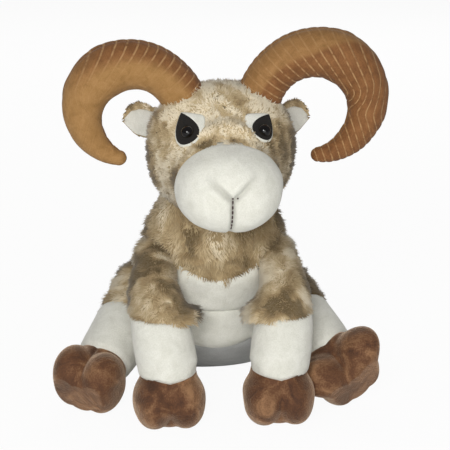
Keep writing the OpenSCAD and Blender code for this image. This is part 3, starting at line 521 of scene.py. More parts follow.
# rings of the torso: a sole, the sides and a half ball of the neck's size
def torsoRings(out, low=0.0, high=torso["neckZ"], dome=True):
    u = fullTurn(torso["around"])
    side = torsoPoint(u, np.linspace(low, high, torso["rows"])[:, None], out)
    middle = side[0].mean(0)
    rings = [middle + (side[:1] - middle) * np.linspace(*torso["sole"])[:, None, None], side]
    if dome:
        a = np.radians(np.linspace(0, 84, 15))[1:, None]
        r = torso["neck"][1] + out
        flat = spin(np.array([1.0, 0, 0]), np.array([0, 1.0, 0]), u)
        rings.append(neckMiddle + r * (np.cos(a)[..., None] * flat + np.sin(a)[..., None] * up))
    return np.concatenate(rings)


# front surface of the torso over a point of its front view, moved along its way out
def torsoFront(x, z, out):
    u = -np.arccos(np.clip(x / torsoRow(z)[1], -0.999, 0.999))
    tilt = torsoPoint(u, z + 0.5) - torsoPoint(u, z - 0.5)
    swing = torsoPoint(u + 0.01, z) - torsoPoint(u - 0.01, z)
    return torsoPoint(u, z) + unit(np.cross(swing, tilt)) * out[..., None]


bodyRings = torsoRings(-torso["skinIn"])
bodyTop = neckMiddle + up * (torso["neck"][1] - torso["skinIn"])
sew(ringSkin("bodySkin", bodyRings, (0, 0, torso["skinIn"]), bodyTop, tanSkin), "torso", "body_skin")
print("body skin made")

bib = dict(halfLow=42, halfHigh=29, seamZ=67, dipZ=91, cornerZ=102, puff=2.6, dent=0.7, sink=1.3, sag=1.6, sagHalf=24)


# a seam or edge that sags by a depth to the middle, as a square within a half width
def sag(x, depth, half):
    return depth * np.clip(1 - (x / half) ** 2, 0, 1)


# height of the bib's top edge: a bay that dips to the middle by a power of the share of its half width
def bibTop(share):
    return bib["dipZ"] + (bib["cornerZ"] - bib["dipZ"]) * share ** 1.5


# half width of the bib at a height, straight from its seam to its corners
def bibHalf(z):
    return blend(bib["halfLow"], bib["halfHigh"], (z - bib["seamZ"]) / (bib["cornerZ"] - bib["seamZ"]))


# bib: across u and up v, swollen and softly dented between its seams by full
def bibSheet(out, full):
    u, v = np.meshgrid(np.linspace(-1, 1, 81), np.linspace(0, 1, 41))
    low = bib["seamZ"] - sag(u * bib["halfLow"], bib["sag"], bib["sagHalf"])
    z = low + v * (bibTop(np.abs(u)) - low)
    x = u * bibHalf(z)
    swell = full * (1 - np.abs(u) ** 10) * (1 - np.abs(2 * v - 1) ** 8)
    dent = bib["dent"] * (cloud(np.stack([x, z, 0 * x], -1), 13, 5) - 0.5)
    return torsoFront(x, z, out + swell * (bib["puff"] + dent))


bellyCloth = dict(half=42, lowZ=42, drop=3.6, puff=2.8, sink=1.3, hang=8, hangHalf=24)


# belly: across u and up v, from the seat's edge to the bib's seam, swollen between them by full
def bellySheet(out, full):
    b = bellyCloth
    u, v = np.meshgrid(np.linspace(-1, 1, 81), np.linspace(0, 1, 37))
    x = u * b["half"]
    low = b["lowZ"] - b["drop"] * u * u - sag(x, b["hang"], b["hangHalf"])
    high = bib["seamZ"] - sag(x, bib["sag"], bib["sagHalf"])
    swell = full * (1 - np.abs(u) ** 10) * (1 - np.abs(2 * v - 1) ** 6)
    return torsoFront(x, low + v * (high - low), out + swell * b["puff"])


for name, node, sheet, cloth in (("chestBib", "chest_bib", bibSheet, bib),
                                 ("bellyPanel", "belly_panel", bellySheet, bellyCloth)):
    pad = padSkin(name, sheet(-cloth["sink"], 1), sheet(-torso["panelIn"], 0), whitePile)
    sew(pad, "torso", node)

# seat: a sole disc and a side that rises to the sloping edge, sunk a little at the seam
seatCloth = dict(swell=0.7, sink=1.3, edgeZ=16, backY=23, slope=0.25, guess=30.0)


# height of the seat's sewn edge, straight from front to back
def seatEdge(y):
    return seatCloth["edgeZ"] + (seatCloth["backY"] - y) * seatCloth["slope"]


u = fullTurn(torso["around"])
edge = np.full_like(u, seatCloth["guess"])
for _ in range(40):
    edge = blend(edge, seatEdge(torsoPoint(u, edge)[:, 1]), 0.7)
share = np.linspace(0, 1, 28)[:, None]
out = seatCloth["swell"] * np.sin(np.pi * share) - seatCloth["sink"] * ease((share - 0.8) / 0.2)
seatRise = torsoPoint(u, share * edge, out)
seatRings = np.concatenate([seatRise[:1] * np.linspace(0.1, 0.95, 10)[:, None, None], seatRise])
sew(ringSkin("seatPanel", seatRings, (0, 0, 0), (0, -25, 30), seatShadedPile), "torso", "seat_panel")

# stuffing of the torso: a pellet bag under loose fibre, each within the skin by its own depth
stuffing = dict(bagIn=7.0, bagLow=6.0, bagHigh=33.0, fillIn=5.5, fillLow=35.0, middleY=-22)
bagRings = torsoRings(-stuffing["bagIn"], stuffing["bagLow"], stuffing["bagHigh"], False)
bagEnds = (0, 0, stuffing["bagLow"]), (0, stuffing["middleY"], stuffing["bagHigh"])
sew(ringSkin("pelletBag", bagRings, *bagEnds, bagCloth), "torso", "pellet_bag")
fillEnds = (0, stuffing["middleY"], stuffing["fillLow"]), neckMiddle + up * (torso["neck"][1] - stuffing["fillIn"])
fillRings = torsoRings(-stuffing["fillIn"], stuffing["fillLow"])
sew(ringSkin("bodyFilling", fillRings, *fillEnds, fibreFill), "torso", "body_filling")
print("seat, bib and belly made")

# head: upright rounded ovals along the nose's line, skull to muzzle, tipped down by the pitch
headShape = dict(middle=(1.5, -98, 190), pitch=8, skull=(53, 48), snout=(36.5, 30), drop=7, back=49, seam=46, nose=40,
                 fullness=2.3, snoutFullness=2.05, noseFullness=2.6, skinIn=1.8, tuck=5, fillIn=7.0, around=144,
                 heart=(0, -12, -4), furRows=74, neckBare=38)
headFur = dict(count=39000, length=3.6, radius=0.52, lift=0.85, lay=0.2, droop=0.1, tuft=1.1, curl=1.0,
               tuftCell=4.5, patch=13.0, contrast=3.2, bright=0.62, soft=0.88, seed=31)


# steps t: 0 to 1 is the round back, 1 to 2 the face by smoothstep, 2 to 3 the round nose; a goes round
def headPoint(t, a, out=0.0):
    h = headShape
    t, a = np.broadcast_arrays(t, a)
    back, nose = np.clip(1 - t, 0, 1) * np.pi / 2, np.clip(t - 2, 0, 1) * np.pi / 2
    step = np.clip(t - 1, 0, 1)
    face = ease(step)
    power = 2 / h["noseFullness"]
    shrink = np.cos(back) * np.maximum(np.cos(nose), 0) ** power
    full = blend(h["fullness"], h["snoutFullness"], face)
    y = (h["back"] + out) * np.sin(back) - h["seam"] * step - (h["nose"] + out) * np.sin(nose) ** power
    x, z = ((blend(h["skull"][k], h["snout"][k], face) + out) * shrink * fuller(turn(a), full)
            for k, turn in enumerate((np.cos, np.sin)))
    return np.stack([x, y, z - h["drop"] * face], -1)


# from the head's own place, mirrored by side, to the toy's
def inHead(p, side=1):
    return turned(np.asarray(p) * [side, 1, 1], (1, 0, 0), headShape["pitch"]) + headShape["middle"]


# the way back, without the mirror
def toHead(p):
    return turned(np.asarray(p) - headShape["middle"], (1, 0, 0), -headShape["pitch"])


# below 1 inside the head, 1 on its skin: the rounded-oval norm of the ring at this depth
def headNorm(p):
    h = headShape
    s = -p[..., 1]
    face = ease(s / h["seam"])
    tail = np.sqrt(np.clip(1 - (np.clip(-s, 0, h["back"]) / h["back"]) ** 2, 1e-6, 1))
    nose = (np.clip(s - h["seam"], 0, h["nose"]) / h["nose"]) ** h["noseFullness"]
    nose = np.clip(1 - nose, 1e-6, 1) ** (1 / h["noseFullness"])
    hw, hh = (blend(h["skull"][k], h["snout"][k], face) * tail * nose for k in (0, 1))
    f = blend(h["fullness"], h["snoutFullness"], face)
    return (np.abs(p[..., 0] / hw) ** f + np.abs((p[..., 2] + h["drop"] * face) / hh) ** f) ** (1 / f)


# slides points along a way out until they lie on the head's skin
def ontoHead(p, way):
    far = np.full(p.shape[:-1], 14.0)
    return p + way * halved(lambda k: headNorm(p + way * k[..., None]) < 1, -far, far, 26)[..., None]


frownShape = dict(archZ=27, fall=5, half=17, reach=24, fade=10, ridge=(3.0, 3.2), hollow=(3.6, 3.4), under=7)


# frown: a ridge that arches over the nose's bridge by a square, with a hollow under it, both bells
def frown(p):
    f = frownShape
    x, over = p[..., 0], p[..., 2] - f["archZ"] + f["fall"] * (p[..., 0] / f["half"]) ** 2
    fade = ease((f["reach"] - np.abs(x)) / f["fade"]) * (p[..., 1] < 0)
    ridge, hollow = f["ridge"], f["hollow"]
    return fade * (ridge[0] * bell(over, ridge[1]) - hollow[0] * bell(over + f["under"], hollow[1]))


noseMiddle = np.array([0, 0, -headShape["drop"]])
a = fullTurn(headShape["around"])
t = np.concatenate([np.linspace(0.05, 1, 34), np.linspace(1, 2, 40)[1:], np.linspace(2, 2.97, 22)[1:]])[:, None]
headLocal = headPoint(t, a, -headShape["skinIn"] - headShape["tuck"] * ease((t - 1.98) / 0.12))
headLocal = headLocal + unit(headLocal - headShape["heart"]) * frown(headLocal)[..., None]
headEnds = headPoint(0.0, 0.0, -headShape["skinIn"]), noseMiddle - [0, 79, 0]
sew(ringSkin("headSkin", headLocal, *headEnds, headCloth, inHead), "head", "head_skin")

muzzleShape = dict(swell=1.2, sink=3.5, nose=(0, 1.8), arm=(16, 16.5), lipEnd=-29, crease=3.6, width=1.9, dent=1.3,
                   front=(60, 14), cheek=(2.4, 15, -7, 13), pad=(1.8, 17, 12), bridge=(0.4, 2.0), around=200)
muzzleMiddle = noseMiddle - [0, 44, 0]


# 1 on the front of the muzzle, by smoothstep along its depth
def muzzleFront(p):
    begin, span = muzzleShape["front"]
    return ease((-p[..., 1] - begin) / span)


# creases of the muzzle, 1 at their bottom: two arms over the cheeks and the lip line, the deepest of the three
def muzzleCrease(p):
    m = muzzleShape
    x, z = p[..., 0], p[..., 2] + headShape["drop"]
    d, k = fromLine(x, z, m["nose"], (0, m["lipEnd"]))
    share = (1 - 0.35 * k) * bell(d, m["width"] * 0.9)
    for side in (-1, 1):
        d, k = fromLine(x, z, m["nose"], (side * m["arm"][0], m["arm"][1]))
        share = np.maximum(share, (1 - 0.7 * k) * bell(d, m["width"] * (1 + 0.4 * k)))
    return share * muzzleFront(p)


# muzzle's own form: cheeks either side of the lip line and a nose pad over them, parted by the creases
def muzzleLift(p):
    m = muzzleShape
    x, z = p[..., 0], p[..., 2] + headShape["drop"]
    front = muzzleFront(p)
    high, cheekX, cheekZ, width = m["cheek"]
    lift = high * bell(np.hypot(np.abs(x) - cheekX, z - cheekZ), width)
    high, padZ, width = m["pad"]
    lift = lift + high * bell(np.hypot(x, (z - padZ) * 0.9), width)
    return front * lift - m["crease"] * muzzleCrease(p) - m["bridge"][0] * bell(x, m["bridge"][1]) * (1 - front)


# soft dents all over
def muzzleDent(p):
    return muzzleShape["dent"] * (cloud(p, 12, 3) - 0.5)


steps = [[1.9, 1.95, 1.985], np.linspace(2.0, 2.25, 20), np.linspace(2.25, 2.985, 52)[1:], [2.993, 2.998]]
steps = np.concatenate(steps)[:, None]
rim = ease((steps - 1.97) / 0.16)
muzzleOut = muzzleShape["swell"] * rim - muzzleShape["sink"] * (1 - rim)
muzzleLocal = headPoint(steps, fullTurn(muzzleShape["around"]), muzzleOut)
# painted shade along the muzzle's creases, carried as the mark crease
creases = muzzleCrease(muzzleLocal)
muzzleMove = (muzzleLift(muzzleLocal) + muzzleDent(muzzleLocal) * rim)[..., None]
muzzleLocal = muzzleLocal + unit(muzzleLocal - muzzleMiddle) * muzzleMove
muzzleEnds = muzzleMiddle + [0, 4, 0], muzzleLocal[-1].mean(0)
muzzle = ringSkin("muzzle", muzzleLocal, *muzzleEnds, whitePile, inHead, {"crease": creases})
sew(muzzle, "head", "muzzle")

fillRings = headPoint(np.linspace(0.1, 2.9, 60)[:, None], a, -headShape["fillIn"])
fillEnds = (0, headShape["back"] - headShape["fillIn"], 0), muzzleMiddle - [0, 34.8, 0]
sew(ringSkin("headFilling", fillRings, *fillEnds, fibreFill, inHead), "head", "head_filling")
print("head and muzzle made")

# eyes: felt drops as width, length, lean, right and up; the patch's corner discs as far, radius and lean inwards
eyeShape = dict(x=25.5, z=23, left=(16, 22, -50, 1.6, 2.2), right=(17.5, 25.5, -38, 1.6, 1.2),
                corners=((12.5, 3.5, 16), (8.0, 3.8, 62)), rim=1.1, cloth=1.0, under=2.5, behind=15)
# eye place: on the head's skin at x and z of the face, with its way out, up and across
faceWay = np.array([0, -1.0, 0])
eyeAt = ontoHead(np.array([eyeShape["x"], -20.0, eyeShape["z"]]), faceWay)
probe = ontoHead(eyeAt + 0.5 * np.array([[1, 0, 0], [-1, 0, 0], [0, 0, 1], [0, 0, -1]]), faceWay)
eyeOut = unit(np.cross(probe[0] - probe[1], probe[2] - probe[3]))
eyeOut = eyeOut * (-np.sign(eyeOut[1]))
eyeUp = unit(up - eyeOut * eyeOut[2])
eyeAcross = np.cross(eyeUp, eyeOut)


# drop outline by its angle: cosine along, sine times the half angle's sine across, so the top comes to a point
def dropOutline(q, width, length, lean, right, high):
    x = width / 2 * np.sin(q) * np.abs(np.sin(q / 2)) / 0.77
    y = length / 2 * np.cos(q) + (length - width) / 4
    c, s = math.cos(math.radians(lean)), math.sin(math.radians(lean))
    return x * c - y * s + right, x * s + y * c + high


# patch outline: the hull round the felt's rim and two discs towards the brow. The farthest reach of both along
# each way gives straight edges, and the nearest of these edges bounds the outline at a turn about the eye
def patchReach(turn, word):
    q = fullTurn(240)
    width, length, *place = eyeShape[word]
    rim = 2 * eyeShape["rim"]
    outlines = [dropOutline(q, width + rim, length + rim, *place)]
    for far, r, inward in eyeShape["corners"]:
        lean = math.radians(inward)
        outlines.append((r * np.cos(q) - far * math.sin(lean), r * np.sin(q) + far * math.cos(lean)))
    x, y = np.concatenate(outlines, 1)
    edge = (x * np.cos(q)[:, None] + y * np.sin(q)[:, None]).max(1)
    facing = np.cos(q[:, None] - q)
    reach = np.where(facing > 0.05, edge[:, None] / np.maximum(facing, 0.05), 99).min(0)
    return np.interp(turn, q, reach, period=2 * np.pi)


# a flat outline of cloth on the head: rings that shrink to the middle, laid on the skin and rounded at the rim
def eyeCloth(x, y, low, thick):
    k = np.linspace(1, 0.04, 16)[:, None]
    cx, cy = x.mean(), y.mean()
    flat = eyeAt + ((cx + (x - cx) * k)[..., None] * eyeAcross + (cy + (y - cy) * k)[..., None] * eyeUp)
    face = ontoHead(flat, eyeOut) + eyeOut * (low + thick * (1 - k ** 7))[..., None]
    under = ontoHead(flat[:1], eyeOut) - eyeOut * eyeShape["under"]
    return np.concatenate([under, face]), under[0].mean(0), face[-1].mean(0)


# share of the way to a patch's edge, 1 on its outline
def patchShare(p, side):
    d = p * [side, 1, 1] - eyeAt
    x, y = (d * eyeAcross).sum(-1), (d * eyeUp).sum(-1)
    reach = patchReach(np.arctan2(y, x), "left" if side > 0 else "right")
    return np.hypot(x, y) / reach + 9 * ((d * eyeOut).sum(-1) < -eyeShape["behind"])


for word, side in sides:
    q = fullTurn(96)
    reach, cloth = patchReach(q, word), eyeShape["cloth"]
    patch = eyeCloth(reach * np.cos(q), reach * np.sin(q), 0.0, cloth + 0.1)
    felt = eyeCloth(*dropOutline(q, *eyeShape[word]), cloth, cloth + 0.2)
    for part, shape, finish in (("Patch", patch, whitePile), ("Felt", felt, darkFelt)):
        piece = ringSkin(f"eye{part}_{word}", *shape, finish, partial(inHead, side=side))
        sew(piece, "head", f"eye_{part.lower()}_{word}")

# lip stitches: short threads laid in the lip crease, each a capsule round the line between its ends
stitches = dict(count=7, top=1.8, pitch=3.9, long=3.1, radius=0.62, noseX=(-0.6, 2.8), noseZ=3.2, slant=(0.9, 0.8),
                proud=0.35, cap=0.2, rings=7, around=8)


# front surface of the muzzle under flat points of the face: the nose's rounded oval, lifted and dented
def muzzleFace(x, z):
    m, h = muzzleShape, headShape
    hw, hh, far = h["snout"][0] + m["swell"], h["snout"][1] + m["swell"], h["nose"] + m["swell"]
    f, g = h["snoutFullness"], h["noseFullness"]
    k = np.clip((np.abs(x / hw) ** f + np.abs(z / hh) ** f) ** (1 / f), 0, 0.999)
    p = np.stack([x, -h["seam"] - far * (1 - k ** g) ** (1 / g), z - h["drop"]], -1)
    return p + unit(p - muzzleMiddle) * (muzzleLift(p) + muzzleDent(p))[..., None]


tops = stitches["top"] - stitches["pitch"] * np.arange(stitches["count"])
ends = [((0, z), (0, z - stitches["long"])) for z in tops]
noseZ, slant = stitches["noseZ"], stitches["slant"]
ends = np.array(ends + [((x, noseZ), (x + slant[0], noseZ + slant[1])) for x in stitches["noseX"]], float)
k = np.linspace(0, 1, stitches["rings"])
line = blend(ends[:, :1], ends[:, 1:], k[None, :, None])
threadLine = muzzleFace(line[..., 0], line[..., 1]) + faceWay * stitches["proud"]
threadWay = unit(np.gradient(threadLine, axis=1))
threadSide = unit(np.cross(threadWay, [0, -1.0, 0.2]))
girth = stitches["radius"] * np.sqrt(np.clip(1 - (2 * k - 1) ** 2 * 0.96, 0, 1))
ring = spin(threadSide[:, :, None], np.cross(threadSide, threadWay)[:, :, None], fullTurn(stitches["around"]))
rings = (threadLine[:, :, None] + ring * girth[:, None, None]).reshape(len(ends), -1, 3)
caps = threadLine[:, [0, -1]] + threadWay[:, [0, -1]] * stitches["cap"] * np.array([[-1], [1]])
points = inHead(np.concatenate([rings, caps], 1))
step = np.arange(len(ends))[:, None, None] * points.shape[1]
quads, tris = ringFaces(stitches["rings"], stitches["around"])
lips = makePiece("mouthStitching", points.reshape(-1, 3), step + quads, step + tris, lipThread)
sew(lips, "head", "mouth_stitching")
print("eyes and stitches made")


# a seat on the back of the head's skin at a depth and a lean from the top
def headSeat(s, lean):
    q = math.sqrt(1 - (s / headShape["back"]) ** 2)
    x, z = (headShape["skull"][k] * q * fuller(turn(math.radians(lean)), headShape["fullness"])
            for k, turn in enumerate((math.sin, math.cos)))
    return np.array([x, s, z])


hornShape = dict(open=9.5, back=10, forward=8, rootD=32, fullD=37, tipD=11, fullAt=0.4, ribDepth=0.4, seamDepth=1.1,
                 dent=0.8, fillIn=4.0, rows=260, bare=13, left=dict(start=162, sweep=254, curl=34),
                 right=dict(start=155, sweep=233, curl=30.5))
hornRoot = headSeat(8, 31)


# middle line of a horn: a curl whose angle runs down from its start and whose radius closes by a cube
def hornLine(form, t):
    h = hornShape
    a = np.radians(form["start"] - form["sweep"] * t)
    r = form["curl"] + h["open"] * (1 - t) ** 3
    a0, r0 = math.radians(form["start"]), form["curl"] + h["open"]
    return np.stack([r * np.cos(a) - r0 * math.cos(a0), h["back"] * np.sin(np.pi * t) - h["forward"] * t,
                     r * np.sin(a) - r0 * math.sin(a0)], -1)


# sewn lines are nearly straight across the flat cloth: rays of a fan up to the bend, then level with each other
stripeFan = dict(centre=(107, -74), rays=(20, 34, 45, 59, 67, 80, 110), reach=(128, 126, 120, 102, 80, 76, 76),
                 across=(0.948, 0.318), start=0.52, end=0.7, bendTurn=66.0, bendAt=(60, 2), step=0.5)


# millimetres across the lines: the angle about the fan's centre times the reach, summed, then a plain distance
def hornStripe(x, z, t):
    f = stripeFan
    beta = np.degrees(np.arctan2(z - f["centre"][1], f["centre"][0] - x))
    fine = np.linspace(-60, 200, 521)
    sums = np.cumsum(np.interp(fine, f["rays"], f["reach"])) * math.radians(f["step"])
    straight = (x - f["bendAt"][0]) * f["across"][0] + (z - f["bendAt"][1]) * f["across"][1]
    straight = straight + np.interp(f["bendTurn"], fine, sums)
    return blend(np.interp(beta, fine, sums), straight, ease((t - f["start"]) / (f["end"] - f["start"])))


# where the cloth is ribbed: turn 90 is the outer edge of the curl, 180 the front, 270 its inner edge
def hornRib(word, t, turn):
    if word == "left":
        edge = blend(162.0, 86.0, ease((t - 0.2) / 0.3))
        front = 0.35 + 0.65 * ease((turn - edge) / 14)
    else:
        front = ease((170 - turn) / 34) * ease((0.62 - t) / 0.3)
    return np.where((turn > 84) & (turn < 276), front, 0.7)


# half thickness of a horn: it swells by smoothstep and tapers by a power
def hornHalf(t):
    h = hornShape
    swell = blend(h["rootD"], h["fullD"], ease(t / h["fullAt"]))
    taper = blend(h["fullD"], h["tipD"], np.clip((t - h["fullAt"]) / (1 - h["fullAt"]), 0, 1) ** 1.4)
    return np.where(t < h["fullAt"], swell, taper) / 2


# a half tube round the curl, or a whole one for the filling, with a groove along the seams and a valley at
# each sewn line; returns its rings, end points and marks
def hornPanel(word, begin, thin=0.0, whole=False):
    h, form = hornShape, hornShape[word]
    t = np.linspace(-0.07, 1, h["rows"])
    line = hornLine(form, t)
    along = unit(hornLine(form, t + 0.01) - hornLine(form, t - 0.01))
    b = unit(np.cross(along, [0, 1.0, 0]))
    a = unit(np.cross(b, along))
    half = hornHalf(np.maximum(t, 0)) - thin
    # round tip: the last ring closes over a half ball
    k = np.radians(np.linspace(0, 82, 12))[1:]
    line = np.concatenate([line, line[-1] + along[-1] * half[-1] * np.sin(k)[:, None]])
    half = np.concatenate([half, half[-1] * np.cos(k)])
    a, b = (np.concatenate([v, np.repeat(v[-1:], len(k), 0)]) for v in (a, b))
    t = np.concatenate([t, np.ones(len(k))])[:, None]
    turn = begin + (np.degrees(fullTurn(64)) if whole else np.linspace(0, 180, 72))
    fromSeam = np.full_like(turn, 90) if whole else np.minimum(turn - begin, begin + 180 - turn)
    around = spin(a[:, None], b[:, None], np.radians(turn))
    shell = line[:, None] + half[:, None, None] * around
    stripe, rib = hornStripe(shell[..., 0], shell[..., 2], t), hornRib(word, t, turn)
    valley = bell(((stripe / hornCloth["pitch"]) % 1 - 0.5) * hornCloth["pitch"], 0.9)
    sink = h["seamDepth"] * bell(fromSeam, 8) * ease(half / 8)[:, None] + h["ribDepth"] * valley * (0.15 + 0.85 * rib)
    shell = shell - around * (sink - h["dent"] * (cloud(shell, 12, 23) - 0.5))[..., None]
    if not whole:
        # the way back through the middle, a little on the panel's own side
        k = np.linspace(0, 1, 8)[None, 1:-1, None]
        flat = blend(shell[:, -1:], shell[:, :1], k) + 0.4 * spin(a, b, np.radians([begin + 90]))[:, None]
        shell = np.concatenate([shell, flat], 1)
        stripe, rib = (np.concatenate([v, np.repeat(v[:, -1:], k.size, 1)], 1) for v in (stripe, rib))
    return (shell, line[0] - along[0] * 4, line[-1] + along[-1] * half[-1] * 0.15), {"stripe": stripe, "rib": rib}


# from a horn's own place to the toy's
def inHorn(p, side):
    return inHead(p + hornRoot, side)


for word, side in sides:
    place = partial(inHorn, side=side)
    for part, begin in (("front", 90), ("back", -90)):
        shape, marks = hornPanel(word, begin)
        horn = ringSkin(f"horn_{part}_{word}_skin", *shape, hornSuede, place, marks)
        sew(horn, f"horn_{word}", f"horn_{part}_{word}")
    shape, marks = hornPanel(word, 0, hornShape["fillIn"], True)
    filling = ringSkin(f"hornFilling_{word}", *shape, fibreFill, place)
    sew(filling, f"horn_{word}", f"horn_filling_{word}")
print("horns made")

# ears: a leaf along x that curls forward by a square, its width and thickness from stations along it; the white
# lining leaves a tan rim along the upper edge. Each part has two sheets by bulge, low edge, high edge and lift
earShape = dict(long=26, wide=27, thick=7, tilt=22, sweep=54, bend=4, rim=0.62, at=(0.0, 0.2, 0.45, 0.7, 0.9, 1.0),
                width=(0.62, 0.87, 1.0, 0.85, 0.47, 0.12), depth=(1, 1, 1, 0.85, 0.6, 0.3),
                Back=((0.85, -0.97, 0.97, 0.3), (0.0, -0.95, 0.95, -0.9)),
                Lining=((-0.75, -0.9, 0.62, -0.7), (0.0, -0.88, 0.6, -0.3)),
                Fur=((0.85, -1, 1, 0.3), (0.0, -1, 1, -0.9)))
earRoot = headSeat(22, 72)
earFur = dict(count=2200, length=2.2, radius=0.44, lift=0.6, lay=0.6, droop=0.3, tuft=0.6, curl=0.5, tuftCell=5.0,
              patch=12.0, contrast=2.2, bright=0.6, soft=0.74, seed=71)


# from an ear's own place to the toy's
def inEar(p, side):
    return inHead(turned(turned(p, (0, 1, 0), earShape["tilt"]), up, earShape["sweep"]) + earRoot, side)


# half the leaf's width at s along it, drawn in by a root at the tip
def earHalf(s):
    w = np.interp(np.clip(s, 0, 1), earShape["at"], earShape["width"]) * earShape["wide"] / 2
    return w * np.sqrt(np.clip((1.03 - s) / 0.25, 0.02, 1))


# how far the leaf's middle rises: a square along it
def earRise(s):
    return earShape["bend"] * s * np.abs(s)


# one sheet of the leaf: across v from low to high it bulges by a half oval away from between back and lining
def earSheet(bulge, low, high, lift):
    s, v = np.meshgrid(np.linspace(-0.12, 1, 36), np.linspace(-1, 1, 33), indexing="ij")
    d = np.interp(np.clip(s, 0, 1), earShape["at"], earShape["depth"]) * earShape["thick"] / 2
    across = blend(low, high, (v + 1) / 2)
    y = -earShape["thick"] * s * np.abs(s) - 2.5 * across ** 2 * s
    swell = bulge * d * np.sqrt(np.clip(1 - v ** 2, 0, 1)) * ease((1 - s) / 0.1 + 0.05)
    return np.stack([earShape["long"] * s, y + lift + swell, earHalf(s) * across + earRise(s)], -1)


# places on the leaf that carry fur: its back, and the rim above the lining
def earFurry(p, n):
    s = p[:, 0] / earShape["long"]
    rim = p[:, 2] - earRise(s) > earShape["rim"] * earHalf(s)
    return ((n[:, 1] > 0.45) | rim) & (p[:, 0] > 1) & (s < 0.9)


for word, side in sides:
    place = partial(inEar, side=side)
    for part, finish in (("Back", tanSkin), ("Lining", whitePile)):
        pad = padSkin(f"ear{part}_{word}", *(earSheet(*s) for s in earShape[part]), finish, place)
        sew(pad, f"ear_{word}", f"ear_{part.lower()}_{word}")
    outer, inner = (earSheet(*s) for s in earShape["Fur"])
    root, normal = scatter(np.concatenate([outer, inner[:, ::-1]], 1), earFur, earFurry)
    furCoat(f"earFur_{word}", f"ear_{word}", place, root, normal, [1, -0.2, 0], earFur)
print("ears made")

# hoof, standing at the origin with its toes to -y
hoofShape = dict(high=38, dip=3.5, spacing=22, toeW=29, toeL=48, toeH=38, lean=-3.5, web=0.72, round=14, dent=1.6,
                 seam=1.6, middle=(0, -3.0, 0), top=28.0)


# at each height the far edge of two toe ovals, a swelling between them and the ankle's circle from the middle,
# rounded together by a power mean
def hoofReach(turn, z, legR, fill):
    h = hoofShape
    s = np.clip(z / (h["toeH"] / 2) - 0.88, -0.97, 0.97)
    c = np.sqrt(1 - s * s) ** 0.8
    dx, dy = np.cos(turn), np.sin(turn)
    core = (legR - 0.8) * (0.62 + 0.38 * ease(z / 26))
    total = core ** h["round"]
    for x, long in ((-h["spacing"] / 2, 1), (h["spacing"] / 2, 1), (0, h["web"] + fill * ease((z - 5) / 10))):
        hx, hy = h["toeW"] / 2 * c, h["toeL"] / 2 * c * long
        qa = (dx / hx) ** 2 + (dy / hy) ** 2
        qb = -(dx * x / hx ** 2 + dy * h["lean"] / hy ** 2)
        qc = (x / hx) ** 2 + (h["lean"] / hy) ** 2 - 1
        root = qb * qb - qa * qc
        far = np.where(root > 0, (-qb + np.sqrt(np.maximum(root, 0))) / qa, 0)
        total = total + np.maximum(far, 0) ** h["round"]
    return total ** (1 / h["round"])


# top line of the hoof: level, dipping to the middle of the front and back
def hoofTop(x):
    return hoofShape["high"] - hoofShape["dip"] * np.clip(1 - np.abs(x) / hoofShape["spacing"], 0, 1)


# rings of the hoof: a sole, sides drawn in to the cuff by smoothstep with dents and a seam between the toes, and a
# lid; its front widens by spread
def hoofRings(legR, spread, fill):
    h = hoofShape
    turn = fullTurn(144)
    share = np.linspace(0, 1, 40)[:, None]
    z = share * (hoofTop(legR * np.cos(turn)) + 1.2)
    reach = blend(hoofReach(turn, z, legR, fill), legR - 1.6, ease((share - 0.86) / 0.14) * 0.9)
    reach = reach - 0.9 * bell((share - 1) * 30, 1.0)
    side = np.stack([reach * np.cos(turn), reach * np.sin(turn), z], -1)
    dent = h["dent"] * (cloud(side, 12, 9) - 0.5) * np.sin(np.pi * share)
    reach = reach + dent - h["seam"] * bell(side[..., 0], 1.5) * np.sin(np.pi * np.clip(share, 0, 0.97)) ** 0.5
    side = np.stack([reach * np.cos(turn), reach * np.sin(turn), z], -1)
    side[..., 0] *= 1 + spread * ease((-side[..., 1] - 4) / 22)
    middle = np.array(h["middle"])
    sole = middle + (side[:1] - middle) * np.linspace(0.12, 0.95, 9)[:, None, None]
    lid = side[-1:] * [0.8, 0.8, 1] - [0, 0, 1.5]
    return np.concatenate([sole, side, lid]), middle, up * h["top"]


# legs: finish and stuffing of each part
legWear = dict(Sleeve=(tanSkin, 0.8), Thigh=(tanSkin, 0.8), Sock=(whitePile, 0.85), Hoof=(brownPile, 0.85),
               Filling=(fibreFill, 0.8))
legTurn = fullTurn(112)
ballTurn = np.radians(np.linspace(84, 0, 14))[:-1, None]


# one leg's pieces, each from its rings and two end points
def sewLeg(kind, word, place, shapes):
    for part, shape in shapes.items():
        finish, fill = legWear[part]
        piece = ringSkin(f"{kind}{part}_{word}", *shape, finish, place)
        sew(piece, f"{kind}_leg_{word}", f"{kind}_{part.lower()}_{word}")


# how far a sock stands out: a root of a sine between its seams, less a bell at each
def sockSwell(share, puff, tuck, width):
    return puff * np.sin(np.pi * share) ** 0.5 - tuck * bell(share - 1, 0.05) - 1.2 * bell(share, width)


# soft dents along a way out, fading to both seams by a sine
def dented(p, way, share, depth, cell, seed):
    return p + unit(way) * (depth * (cloud(p, cell, seed) - 0.5) * np.sin(np.pi * share))[..., None]


